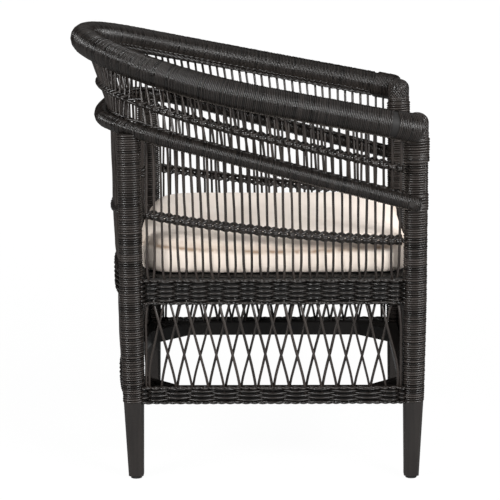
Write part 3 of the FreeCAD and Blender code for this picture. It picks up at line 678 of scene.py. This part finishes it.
def layCap(name, side, replaced):
    # strands that cross aslant over a domed core, above a border of bolder turns
    rise, count = cap["top"] - cap["low"], cap["rings"]
    heights = [cap["low"] + rise * math.sin(math.pi / 2 * k / count) for k in range(count + 1)]
    angles = [math.tau * k / cap["corners"] for k in range(cap["corners"])]
    core = closedShell([capRing(side, height, cap["reach"], angles) for height in heights])
    layMesh(name + "Core", core, windingFinish, "wound_rattan", [replaced])
    lines = []
    for turn in (1, -1):
        for strand in range(cap["strands"]):
            line = []
            for k, height in enumerate(heights):
                angle = math.tau * strand / cap["strands"] + turn * cap["twist"] * (height - cap["low"])
                reach = cap["reach"] + cap["swing"] * math.cos(math.pi * (k + strand)) + cap["proud"]
                line += capRing(side, height, reach, [angle])
            lines.append(line)
    layCane(name, lines, {"tone": tones(lines)}, rodTree, "wound_rattan", windingFinish, **cap["cane"])
    x, y = side * chair["postSpacing"], -chair["frontPost"]
    border = [Vector((x, y, cap["low"] + lift)) for lift in cap["border"]]
    windSquare(name + "Border", border, [cap["reach"] + cap["borderProud"]] * 2)


layCap("frontRightCap", -1, "front_right_cap")
layCap("frontLeftCap", 1, "front_left_cap")


def distances(line):
    reached = [0.0]
    for before, point in zip(line, line[1:]):
        reached.append(reached[-1] + (point - before).length)
    return reached


def domed(line, radius, dome):
    # half thickness along a bow, rounded off over its two ends
    reached = distances(line)
    drops = [max(0.0, 1 - min(distance, reached[-1] - distance) / dome) for distance in reached]
    return [radius - dome + dome * math.sqrt(max(0.0, 1 - drop * drop)) for drop in drops]


def denseEnds(line, dome):
    # extra points at both ends for the rounding
    start = [line[0] + (line[1] - line[0]).normalized() * dome * k / 8 for k in range(8)]
    end = [line[-1] + (line[-2] - line[-1]).normalized() * dome * k / 8 for k in range(8)]
    middle = [p for p in line if (p - line[0]).length > dome and (p - line[-1]).length > dome]
    return start + middle + end[::-1]


def windBow(name, line, bow, steps, replaced):
    line = denseEnds(line, bow["dome"])
    side, reach, reached = inwards(line), domed(line, bow["radius"], bow["dome"]), distances(line)
    girth = [thickness - winding["coreInset"] for thickness in reach]
    # the core is near-black: painted shade in the gaps between the turns
    layCane(name + "Core", [line], {"girth": [girth]}, rodTree, "wound_rattan", shadedFinish, [replaced],
            **winding["bowCore"])
    length, cut, gap = reached[-1], bow["endLength"], winding["endGap"]
    parts = [(0.0, length, winding["lean"], 0.0)]
    if cut:
        # the two front ends are wound on their own, more aslant
        parts = [(0.0, cut, winding["endLean"], winding["endProud"]),
                 (cut + gap, length - cut - gap, winding["lean"], 0.0),
                 (length - cut, length, -winding["endLean"], winding["endProud"])]
    lines, sides, reaches, leans = [], [], [], []
    for low, high, lean, extra in parts:
        chosen = [k for k, distance in enumerate(reached) if low <= distance <= high]
        lines.append([line[k] for k in chosen])
        sides.append([side[k] for k in chosen])
        reaches.append([reach[k] - winding["sink"] + extra for k in chosen])
        leans.append([lean] * len(chosen))
    fields = {"sideways": sides, "reach": reaches, "lean": leans}
    layCane(name, lines, fields, windingTree, "wound_rattan", bowFinish, steps=steps, **winding["bow"])


windBow("topBowWinding", topLine, topBow, winding["topSteps"], "top_bow")
windBow("midBowWinding", midLine, midBow, winding["midSteps"], "mid_bow")


# twisted rows round the spokes

rows = {
    "upperShare": 0.44, "midLift": 0.0115, "lowFront": 0.427, "lowRise": 0.046, "lowPower": 1.6, "lowSag": 0.017,
    "strand": 0.0029, "lifts": (0.0040, -0.0040), "upperStrand": 0.0028, "upperLifts": (0.0037, -0.0037),
    "midStrand": 0.0021, "upperSwing": 0.0060, "loopSwing": 0.0026, "overrun": 0.35, "spread": 0.06,
    "cane": {"cuts": 5, "outSwing": 0.0050, "upSwing": 0.0008, "wander": 0.0012},
}


def atHeight(route, height):
    for upper, lower in zip(route, route[1:]):
        if lower.z <= height:
            return upper.lerp(lower, (upper.z - height) / (upper.z - lower.z))


def twistRow(name, points, strand, lifts, replaced=(), sideways=None, **swings):
    # pairs of strands that twist round each other between the spokes, with a short run past both end spokes;
    # neighbouring pairs twist opposite ways
    first = points[0] + (points[0] - points[1]) * rows["overrun"]
    last = points[-1] + (points[-1] - points[-2]) * rows["overrun"]
    line = [first] + points + [last]
    sideways = sideways or inwards(line)
    lines, phases, twists = [], [], []
    for order, lift in enumerate(lifts):
        for start in (0.0, math.pi):
            lines.append([point + up * lift for point in line])
            phases.append([start + math.pi * order] * len(line))
            twists.append([(-1.0) ** order] * len(line))
    fields = {"sideways": [sideways] * len(lines), "phase": phases, "twist": twists, "tone": tones(lines),
              "girth": girths(lines, rows["spread"])}
    layCane(name, lines, fields, weavingTree, "woven_rattan", weaveFinish, replaced, strandWidth=strand,
            strandThickness=strand, **{**rows["cane"], **swings})


def lowRowHeight(panel, point):
    limits = [chair[key] - chair["wrapHalf"] for key in ("postSpacing", "frontPost", "rearPost")]
    sideLimit, frontLimit, rearLimit = limits
    if panel == "back":
        return rows["lowFront"] + rows["lowRise"] - rows["lowSag"] * (1 - (point.x / sideLimit) ** 2)
    share = max(0.0, (point.y + frontLimit) / (frontLimit + rearLimit))
    return rows["lowFront"] + rows["lowRise"] * share ** rows["lowPower"]


upperRow = [route[1].lerp(route[0], rows["upperShare"]) for route in allSpokes]
twistRow("upperTwine", upperRow, rows["upperStrand"], rows["upperLifts"], ["upper_twine"],
         outSwing=rows["upperSwing"], loopSwing=rows["loopSwing"])
midRow = [route[1] + up * rows["midLift"] for route in allSpokes]
twistRow("midTwine", midRow, rows["midStrand"], (0.0,), ["mid_twine"])
for panel in ("right", "back", "left"):
    lowRow = [atHeight(route, lowRowHeight(panel, route[2])) for route in spokes[panel]]
    twistRow("lowerTwine" + panel.capitalize(), lowRow, rows["strand"], rows["lifts"], ["lower_twine_" + panel],
             loopSwing=rows["loopSwing"])


braid = {
    "angle": 0.75, "reach": 0.0235, "strand": 0.0024, "lifts": (0.0034, -0.0034), "outSwing": 0.0022, "endGap": 0.05,
}


def layBraid():
    # a plait along the inner lower edge of the top bow
    reached = distances(topLine)
    low, high = braid["endGap"], reached[-1] - braid["endGap"]
    line = [point for point, reach in zip(topLine, reached) if low < reach < high][::2]
    tilt = braid["angle"]
    radials = [(inward * math.cos(tilt) - up * math.sin(tilt)).normalized() for inward in inwards(line)]
    places = [point + radial * braid["reach"] for point, radial in zip(line, radials)]
    outward = radials[:1] + radials + radials[-1:]
    twistRow("railBraid", places, braid["strand"], braid["lifts"], sideways=outward, outSwing=braid["outSwing"])


layBraid()


# woven bands

band = {
    "seat": {"low": 0.3165, "rows": 10, "pitch": 0.0041, "stakes": 16, "thickness": 0.0017, "bulge": 0.031,
             "crown": 0.0040},
    "lower": {"low": 0.1390, "rows": 7, "pitch": 0.0039, "stakes": 11, "thickness": 0.0018, "bulge": 0.024,
              "crown": 0.0005},
    "cane": {"strandWidth": 0.0018, "cuts": 7, "outSwing": 0.0068, "wander": 0.0014, "wanderScale": 60.0},
    "depth": 0.0080, "overlap": 0.003, "spread": 0.08, "coreDepth": 0.0042, "coreDrop": 0.001,
    "core": {"strandThickness": 0.0011, "outSwing": 0.0, "cuts": 1, "sides": 10, "wander": 0.0},
    "edge": 0.0020, "edgeSwings": {"outSwing": 0.0040, "upSwing": 0.0008}, "edgeDepth": 0.0100, "edgeStakes": 32,
    "edgeRise": 0.0008, "edgeDrop": 0.0004,
}


def panelFrame(panel):
    # the two ends of a panel on the line of its posts, and its outward direction
    x, front, rear = chair["postSpacing"], chair["frontPost"], chair["rearPost"]
    gap = chair["wrapHalf"] - band["overlap"]
    places = {
        "right": ((-x, -front + gap), (-x, rear - gap), (-1, 0)),
        "left": ((x, rear - gap), (x, -front + gap), (1, 0)),
        "front": ((x - gap, -front), (-x + gap, -front), (0, -1)),
        "back": ((-x + gap, rear), (x - gap, rear), (0, 1)),
    }
    return [Vector((*place, 0)) for place in places[panel]]


def swelling(bulge, limit, across, depth):
    radius = (limit ** 2 + bulge ** 2) / (2 * bulge)
    return math.sqrt((radius + depth) ** 2 - across ** 2) - radius + bulge


def bandLine(panel, plan, height, count, depth):
    start, end, outward = panelFrame(panel)
    line, side, bulge = [], [], plan["bulge"]
    limit = (end - start).length / 2
    along = (end - start).normalized()
    for step in [0.0] + [(k + 0.5) / count for k in range(count)] + [1.0]:
        across = (step - 0.5) * 2 * limit
        swell, direction = depth, outward
        if panel == "back":
            swell = swelling(bulge, limit, across, depth)
            direction = (outward * limit ** 2 / (2 * bulge) + along * across).normalized()
        line.append(start.lerp(end, step) + outward * swell + up * height)
        side.append(direction)
    return line, side


def weaveBand(level, panel, replaced):
    # plain weave over a thin near-black core, painted shade behind the weave, between a twisted edge at the bottom and
    # one at the top
    plan = band[level]
    name = level + "Band" + panel.capitalize()
    heights = [plan["low"] + plan["pitch"] * (row + 0.5) for row in range(plan["rows"])]
    lines, sides = zip(*(bandLine(panel, plan, height, plan["stakes"], band["depth"]) for height in heights))
    phases = [[math.pi * (row % 2)] * len(line) for row, line in enumerate(lines)]
    fields = {"sideways": sides, "phase": phases, "tone": tones(lines), "girth": girths(lines, band["spread"])}
    layCane(name, lines, fields, weavingTree, "woven_rattan", weaveFinish, [replaced],
            strandThickness=plan["thickness"], **band["cane"])
    top = plan["low"] + plan["pitch"] * plan["rows"]
    base, crown = plan["low"] - band["coreDrop"], top + plan["crown"]
    line, side = bandLine(panel, plan, (base + crown) / 2, plan["stakes"], band["coreDepth"])
    still = [[0.0] * len(line)]
    fields = {"sideways": [side], "phase": still, "twist": still}
    layCane(name + "Core", [line], fields, weavingTree, "woven_rattan", shadedFinish,
            strandWidth=(crown - base) / 2, **band["core"])
    for edge, height in (("Bottom", plan["low"] + band["edgeRise"]), ("Top", top - band["edgeDrop"])):
        line, side = bandLine(panel, plan, height, band["edgeStakes"], band["edgeDepth"])
        side = side[:1] + side + side[-1:]
        twistRow(name + edge, line, band["edge"], (0.0,), sideways=side, **band["edgeSwings"])


for panel, cad in (("right", "right"), ("left", "left"), ("front", "front"), ("back", "rear")):
    for level in ("seat", "lower"):
        weaveBand(level, panel, "%s_%s_band" % (level, cad))


# round cane: spokes and lattice

roundCane = {
    "cane": {"radius": 0.0023, "sides": 8, "step": 0.011, "wander": 0.0045, "wanderScale": 9.0}, "spread": 0.08,
    "closeness": 0.012, "easing": 3, "tuck": 0.0005, "betweenBands": 0.25,
}


def tucked(panel, point):
    # a rod that passes a woven band keeps behind its weave
    plan = band["seat" if point.z > roundCane["betweenBands"] else "lower"]
    if not plan["low"] < point.z < plan["low"] + plan["rows"] * plan["pitch"]:
        return point
    start, end, outward = panelFrame(panel)
    depth = (point - start).dot(outward)
    if panel == "back":
        depth -= swelling(plan["bulge"], (end - start).length / 2, point.x, 0.0)
    return point - outward * (depth - roundCane["tuck"])


def eased(panel, route):
    # closer points with rounded kinks
    points = [tucked(panel, point) for point in densePath(route, roundCane["closeness"])]
    for turn in range(roundCane["easing"]):
        middle = [(a + b * 2 + c) / 4 for a, b, c in zip(points, points[1:], points[2:])]
        points = points[:1] + middle + points[-1:]
    return points


def laySpokes(name, panel, routes, replaced):
    routes = [eased(panel, route) for route in routes]
    fields = {"tone": tones(routes), "girth": girths(routes, roundCane["spread"])}
    layCane(name, routes, fields, rodTree, "round_rattan", rodFinish, [replaced], **roundCane["cane"])


for panel in ("right", "back", "left"):
    laySpokes(panel + "Spokes", panel, spokes[panel], panel + "_spokes")
laySpokes("frontLattice", "front", frontRods, "front_lattice")


# woven seat deck

deck = {
    "halfWidth": 0.252, "front": 0.2925, "rear": 0.198, "innerHalf": 0.2325, "innerFront": 0.272,
    "innerRear": 0.1735, "columns": 36, "rows": 35, "cover": 0.48, "core": 0.25, "rimDrop": 0.0012,
    "cane": {"cuts": 2, "outSwing": 0.0007, "strandThickness": 0.0007, "wander": 0.0003},
    "rim": {"radius": 0.0014, "sides": 6, "step": 0.008, "wander": 0.0},
}


def deckEdge(level):
    # outline with the four post corners left out
    names = ("halfWidth", "front", "rear", "innerHalf", "innerFront", "innerRear")
    wide, front, rear, innerWide, innerFront, innerRear = (deck[name] - deck["rim"]["radius"] for name in names)
    half = [(innerWide, -front), (innerWide, -innerFront), (wide, -innerFront), (wide, innerRear),
            (innerWide, innerRear), (innerWide, rear)]
    corners = half + [(-x, y) for x, y in reversed(half)]
    return densePath([Vector((x, y, level)) for x, y in corners + corners[:1]], deck["rim"]["step"])


def layDeckCore(level):
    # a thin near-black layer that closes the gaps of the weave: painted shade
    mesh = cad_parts["seat_deck"].data.copy()
    for vertex in mesh.vertices:
        vertex.co.z = level + (vertex.co.z - level) * deck["core"]
    layMesh("seatDeckCore", mesh, shadedFinish, "woven_rattan")


def weaveDeck():
    # strands along and across, over and under each other, cut out round the posts
    heights = [vertex.co.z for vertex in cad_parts["seat_deck"].data.vertices]
    level = (min(heights) + max(heights)) / 2
    wide, deep = 2 * deck["halfWidth"] / deck["columns"], (deck["front"] + deck["rear"]) / deck["rows"]
    columns = [(k + 0.5) * wide - deck["halfWidth"] for k in range(deck["columns"])]
    rowPlaces = [(k + 0.5) * deep - deck["front"] for k in range(deck["rows"])]
    lines, phases = [], []

    def addStrand(number, places, low, high, point):
        chosen = [k for k, place in enumerate(places) if low < place < high]
        lines.append([point(value) for value in [low] + [places[k] for k in chosen] + [high]])
        phases.append([math.pi * ((number + chosen[0]) % 2)] * len(lines[-1]))

    for k, y in enumerate(rowPlaces):
        half = deck["halfWidth"] if -deck["innerFront"] < y < deck["innerRear"] else deck["innerHalf"]
        addStrand(k, columns, -half, half, lambda x: Vector((x, y, level)))
    for k, x in enumerate(columns):
        front, rear = ("innerFront", "innerRear") if abs(x) > deck["innerHalf"] else ("front", "rear")
        addStrand(k + 1, rowPlaces, -deck[front], deck[rear], lambda y: Vector((x, y, level)))
    fields = {"sideways": [[up] * len(line) for line in lines], "phase": phases, "tone": tones(lines)}
    # the deck strands and rim take the darker cane, painted shade under the cushion
    layCane("seatDeck", lines, fields, weavingTree, "woven_rattan", deckShadeFinish, ["seat_deck"],
            strandWidth=deck["cover"] * min(wide, deep), **deck["cane"])
    layDeckCore(level)
    rim = deckEdge(level - deck["rimDrop"])
    layCane("seatDeckRim", [rim], {}, rodTree, "woven_rattan", deckShadeFinish, **deck["rim"])


weaveDeck()


# cushion

cushion = {
    "halfWidth": 0.235, "front": 0.2960, "rear": 0.1870, "low": 0.3624, "high": 0.4225, "corner": 0.044,
    "draw": 0.0025, "rearBow": 0.018, "sideBow": 0.018, "basePanel": 0.0030, "voxel": 0.006, "pressure": 4.0,
    "frames": 20, "cap": 0.010, "seamLow": 0.4015, "seamRise": 0.0130, "puckerReach": 0.0060, "tintReach": 0.015,
    "groove": 0.0024, "puckerScale": 70.0, "puckerDepth": 0.6, "arcSteps": 8,
    "rings": ((0.011, 0.0), (0.003, 0.09), (0.0, 0.28), (0.0, 0.64), (0.001, 0.80), (0.005, 0.91), (0.014, 0.97),
              (0.06, 1.0)),
    "cornerShrink": 0.6, "cornerLeast": 0.02,
}
cloth = {
    "broadScale": 9.0, "threadScale": 420.0, "threadTwist": 1.2, "weaveShare": 0.12, "broadShare": 0.6,
    "puckerTint": 0.8, "seamTint": 0.4, "baseWaver": 0.006, "baseBlur": 0.0006, "gloss": 0.78, "weaveGloss": 0.05,
    "bump": 0.25, "relief": 0.0004, "sheen": 0.15, "shine": 0.25,
}
cushionMiddle = (cushion["rear"] - cushion["front"]) / 2
cushionDepth = (cushion["front"] + cushion["rear"]) / 2


def cushionRing(inset, share):
    # a rounded rectangle; the rear edge follows the bowed back, and the sides swell between the posts
    width, steps = cushion["halfWidth"], cushion["arcSteps"]
    centre = Vector((0, cushionMiddle, 0))
    height = cushion["low"] + (cushion["high"] - cushion["low"]) * share
    corner = max(cushion["corner"] - inset * cushion["cornerShrink"], cushion["cornerLeast"])
    reach = (width - inset - corner, cushionDepth - inset - corner)
    middles = [Vector((sx * reach[0], sy * reach[1], 0)) for sx, sy in ((1, 1), (-1, 1), (-1, -1), (1, -1))]
    ring = []
    for quarter, middle in enumerate(middles):
        for step in range(steps + 1):
            angle = math.pi / 2 * (quarter + step / steps)
            outward = Vector((math.cos(angle), math.sin(angle), 0))
            ring.append(centre + middle + outward * corner + up * height)
        for step in range(1, steps):
            pull = cushion["draw"] * math.sin(math.pi * step / steps)
            place = middle.lerp(middles[(quarter + 1) % 4], step / steps)
            ring.append(centre + place + outward * (corner - pull) + up * height)
    for point in ring:
        along = (point.y - centre.y) / cushionDepth
        point.y += cushion["rearBow"] * max(0.0, along) ** 2 * (1 - (point.x / width) ** 2)
        point.x += cushion["sideBow"] * point.x / width * max(0.0, 1 - along ** 4)
    return ring


def faded(distance, reach):
    # full at no distance, and gone at the reach on either side
    inputs = {"Value": distance.calc("ABSOLUTE"), "From Max": reach, "To Min": 1.0, "To Max": 0.0}
    return addNode("ShaderNodeMapRange", inputs, interpolation_type="SMOOTHSTEP")[0]


def clothFinish():
    material, place = newFinish("cushionCloth")
    broad = noiseOf(place, cloth["broadScale"], 3.0)["Fac"]
    threads = {"Vector": place, "Scale": cloth["threadScale"], "Distortion": cloth["threadTwist"], "Detail": 1.0,
               "Detail Scale": 2.0}
    first, second, third = (addNode("ShaderNodeTexWave", threads, bands_direction=axis)["Fac"] for axis in "XYZ")
    weave = first + second + third
    shade = weave * cloth["weaveShare"] + broad * cloth["broadShare"]
    colour = mixColours(shade, finishes["clothWarm"], finishes["clothPale"])
    # the seam round the top edge sags between the corners and gathers the cloth in small puckers; painted shade darkens
    # the puckers and a wider band along the seam
    parts = addNode("ShaderNodeSeparateXYZ", {0: place})
    across = parts["X"].calc("ABSOLUTE") / cushion["halfWidth"]
    along = (parts["Y"] - cushionMiddle).calc("ABSOLUTE") / cushionDepth
    share = across.calc("MINIMUM", along)
    off = parts["Z"] - (share * share * cushion["seamRise"] + cushion["seamLow"])
    pucker = noiseOf(place, cushion["puckerScale"], 1.0)["Fac"]
    pucker = ramped(pucker, ((0.40, 0.2), (0.62, 1.0))) * faded(off, cushion["puckerReach"])
    seamShadeBand = faded(off - cushion["puckerReach"], cushion["tintReach"])
    creaseShade = pucker * cloth["puckerTint"] + seamShadeBand * cloth["seamTint"]
    colour = mixColours(creaseShade, colour, finishes["clothCrease"])
    # painted shade: the cloth is painted nearly black from the bottom up to a line that wavers a little
    shadeEdge = broad * cloth["baseWaver"] + (cushion["low"] + cushion["basePanel"] - cloth["baseWaver"] / 2)
    blur = {"Value": shadeEdge - parts["Z"], "From Min": -cloth["baseBlur"], "From Max": cloth["baseBlur"]}
    belowShadeEdge = addNode("ShaderNodeMapRange", blur)[0]
    colour = mixColours(belowShadeEdge, colour, finishes["clothBase"])
    dress({"Base Color": colour, "Roughness": weave * cloth["weaveGloss"] + cloth["gloss"],
           "Sheen Weight": cloth["sheen"], "Specular IOR Level": cloth["shine"]}, weave, cloth["bump"], cloth["relief"])
    return material


def drawSeam(mesh):
    # pulls the cloth in along the seam, more at each pucker
    normals = [vertex.normal.copy() for vertex in mesh.vertices]
    for vertex, normal in zip(mesh.vertices, normals):
        share = min(abs(vertex.co.x) / cushion["halfWidth"], abs(vertex.co.y - cushionMiddle) / cushionDepth)
        off = abs(vertex.co.z - cushion["seamLow"] - cushion["seamRise"] * share ** 2) / cushion["puckerReach"]
        if off < 1:
            pull = cushion["puckerDepth"]
            pucker = pull + pull * noise.noise(vertex.co * cushion["puckerScale"])
            vertex.co -= normal * cushion["groove"] * pucker * (1 - off * off) ** 2


def swellCushion(piece):
    # a cloth simulation under pressure, held back where it would go too far
    remesh = piece.modifiers.new("even", "REMESH")
    remesh.mode = "VOXEL"
    remesh.voxel_size = cushion["voxel"]
    piece.data = settledMesh(piece)
    start = [vertex.co.copy() for vertex in piece.data.vertices]
    settings = piece.modifiers.new("swell", "CLOTH").settings
    settings.use_pressure = True
    settings.uniform_pressure_force = cushion["pressure"]
    settings.effector_weights.gravity = 0
    for step in range(cushion["frames"]):
        scene.frame_set(step + 1)
    swollen = settledMesh(piece)
    scene.frame_set(1)
    for before, vertex in zip(start, swollen.vertices):
        moved = vertex.co - before
        if moved.length > cushion["cap"]:
            moved *= cushion["cap"] / moved.length
        vertex.co = before + moved
        vertex.co.z = max(vertex.co.z, cushion["low"])
    piece.data = swollen


def makeCushion():
    piece = newObject("cushion", closedShell([cushionRing(inset, share) for inset, share in cushion["rings"]]))
    bpy.context.view_layer.objects.active = piece
    swellCushion(piece)
    smooth = piece.modifiers.new("smooth", "SUBSURF")
    smooth.levels = smooth.render_levels = 1
    mesh = settledMesh(piece)
    piece.data = mesh
    mesh.name = "cushion"
    drawSeam(mesh)
    for polygon in mesh.polygons:
        polygon.use_smooth = True
    mesh.materials.clear()
    mesh.materials.append(clothFinish())
    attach(piece, "cushion")
    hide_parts("cushion_cover", "cushion_filling")
    halfWidth = max(vertex.co.x for vertex in mesh.vertices)
    print("cushion made:", len(mesh.polygons), "faces, half width", round(halfWidth, 4))


makeCushion()


# carried-over solids

for name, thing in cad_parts.items():
    finish = uprightTimber
    if "front_rail" in name or "rear_rail" in name or name == "seat_ribs":
        finish = shadedCrossTimber
    elif name.endswith(("_rail", "_brace")):
        finish = shadedLengthTimber
    elif name == "foot_glides":
        finish = glideFinish
    elif name == "bow_bolts":
        finish = boltFinish
    thing.data.materials.clear()
    thing.data.materials.append(finish)


# floor, light and camera

studio = {
    "floor": 0.40, "floorRough": 0.9, "floorGleam": 0.03, "floorWhite": 0.93, "floorReach": 40.0,
    "glowPlace": (0.5, 4.0), "glow": (1.045, 1.085), "worldStrength": 0.018, "aim": (0, 0, 0.4),
}
lamps = {
    "keyLight": {"place": (-2.5, -2.1, 1.8), "size": (1.5, 0.6), "power": 145.0},
    "fillLight": {"place": (-2.3, 2.2, 1.7), "size": (1.5, 0.6), "power": 132.0},
    "frontLight": {"place": (-0.7, -3.0, 2.1), "size": (1.2, 0.6), "power": 46.0},
    "topLight": {"place": (0.3, 0.0, 2.9), "size": (3.0, 3.0), "power": 23.0},
}
view = {
    "place": (-3.5951, -0.05837, 1.07563), "yaw": 0.0145, "pitch": 0.197, "roll": -0.006, "sensor": 36.0,
    "focus": 1977.35 / 500,
}


def makeFloor():
    mesh = bpy.data.meshes.new("floor")
    reach = studio["floorReach"]
    corners = [(-reach, -reach, 0), (reach, -reach, 0), (reach, reach, 0), (-reach, reach, 0)]
    mesh.from_pydata(corners, [], [(0, 1, 2, 3)])
    material, place = newFinish("paleFloor")
    dress({"Base Color": (studio["floor"],) * 3 + (1,), "Roughness": studio["floorRough"], "Specular IOR Level": 0.0})
    # the floor far from the lamps glows a little more, so that it stays as white as near them
    away = addNode("ShaderNodeVectorMath", {0: place}, operation="LENGTH")["Value"]
    near, far = studio["glowPlace"]
    low, high = studio["glow"]
    ranges = {"Value": away, "From Min": near, "From Max": far, "To Min": low, "To Max": high}
    glow = addNode("ShaderNodeMapRange", ranges)[0]
    white = addNode("ShaderNodeEmission", {"Color": (1, 1, 1, 1), "Strength": glow})[0]
    rays = addNode("ShaderNodeLightPath")
    part = rays["Is Camera Ray"] * studio["floorWhite"] + rays["Is Glossy Ray"] * studio["floorGleam"]
    nodes = material.node_tree.nodes
    mixed = addNode("ShaderNodeMixShader", {0: part, 1: outputs(nodes["Principled BSDF"])[0], 2: white})[0]
    feed(nodes["Material Output"].inputs["Surface"], mixed)
    mesh.materials.append(material)
    floor = newObject("floor", mesh)


def makeWorld():
    world = bpy.data.worlds.new("studioWorld")
    scene.world = world
    world.use_nodes = True
    building["tree"] = world.node_tree
    background = world.node_tree.nodes["Background"].inputs
    background["Color"].default_value = (1, 1, 1, 1)
    seen, dim = addNode("ShaderNodeLightPath")["Is Camera Ray"], studio["worldStrength"]
    feed(background["Strength"], seen * (1.0 - dim) + dim)


def makeLight(name, lamp):
    data = bpy.data.lights.new(name, "AREA")
    data.shape = "RECTANGLE"
    data.size, data.size_y = lamp["size"]
    data.energy = lamp["power"]
    light = newObject(name, data)
    light.location = lamp["place"]
    light.rotation_euler = (Vector(studio["aim"]) - light.location).to_track_quat("-Z", "Y").to_euler()


def makeCamera():
    turns = ((view["yaw"] - math.pi / 2, "Z"), (math.pi / 2 - view["pitch"], "X"), (view["roll"], "Z"))
    place = Matrix.Translation(view["place"])
    for angle, axis in turns:
        place = place @ Matrix.Rotation(angle, 4, axis)
    data = bpy.data.cameras.new("camera")
    data.sensor_width = view["sensor"]
    data.lens = view["sensor"] * view["focus"]
    camera = newObject("camera", data)
    camera.matrix_world = place
    scene.camera = camera


makeFloor()
makeWorld()
for name, lamp in lamps.items():
    makeLight(name, lamp)
makeCamera()
scene.view_settings.view_transform = "Standard"
print("stage set")
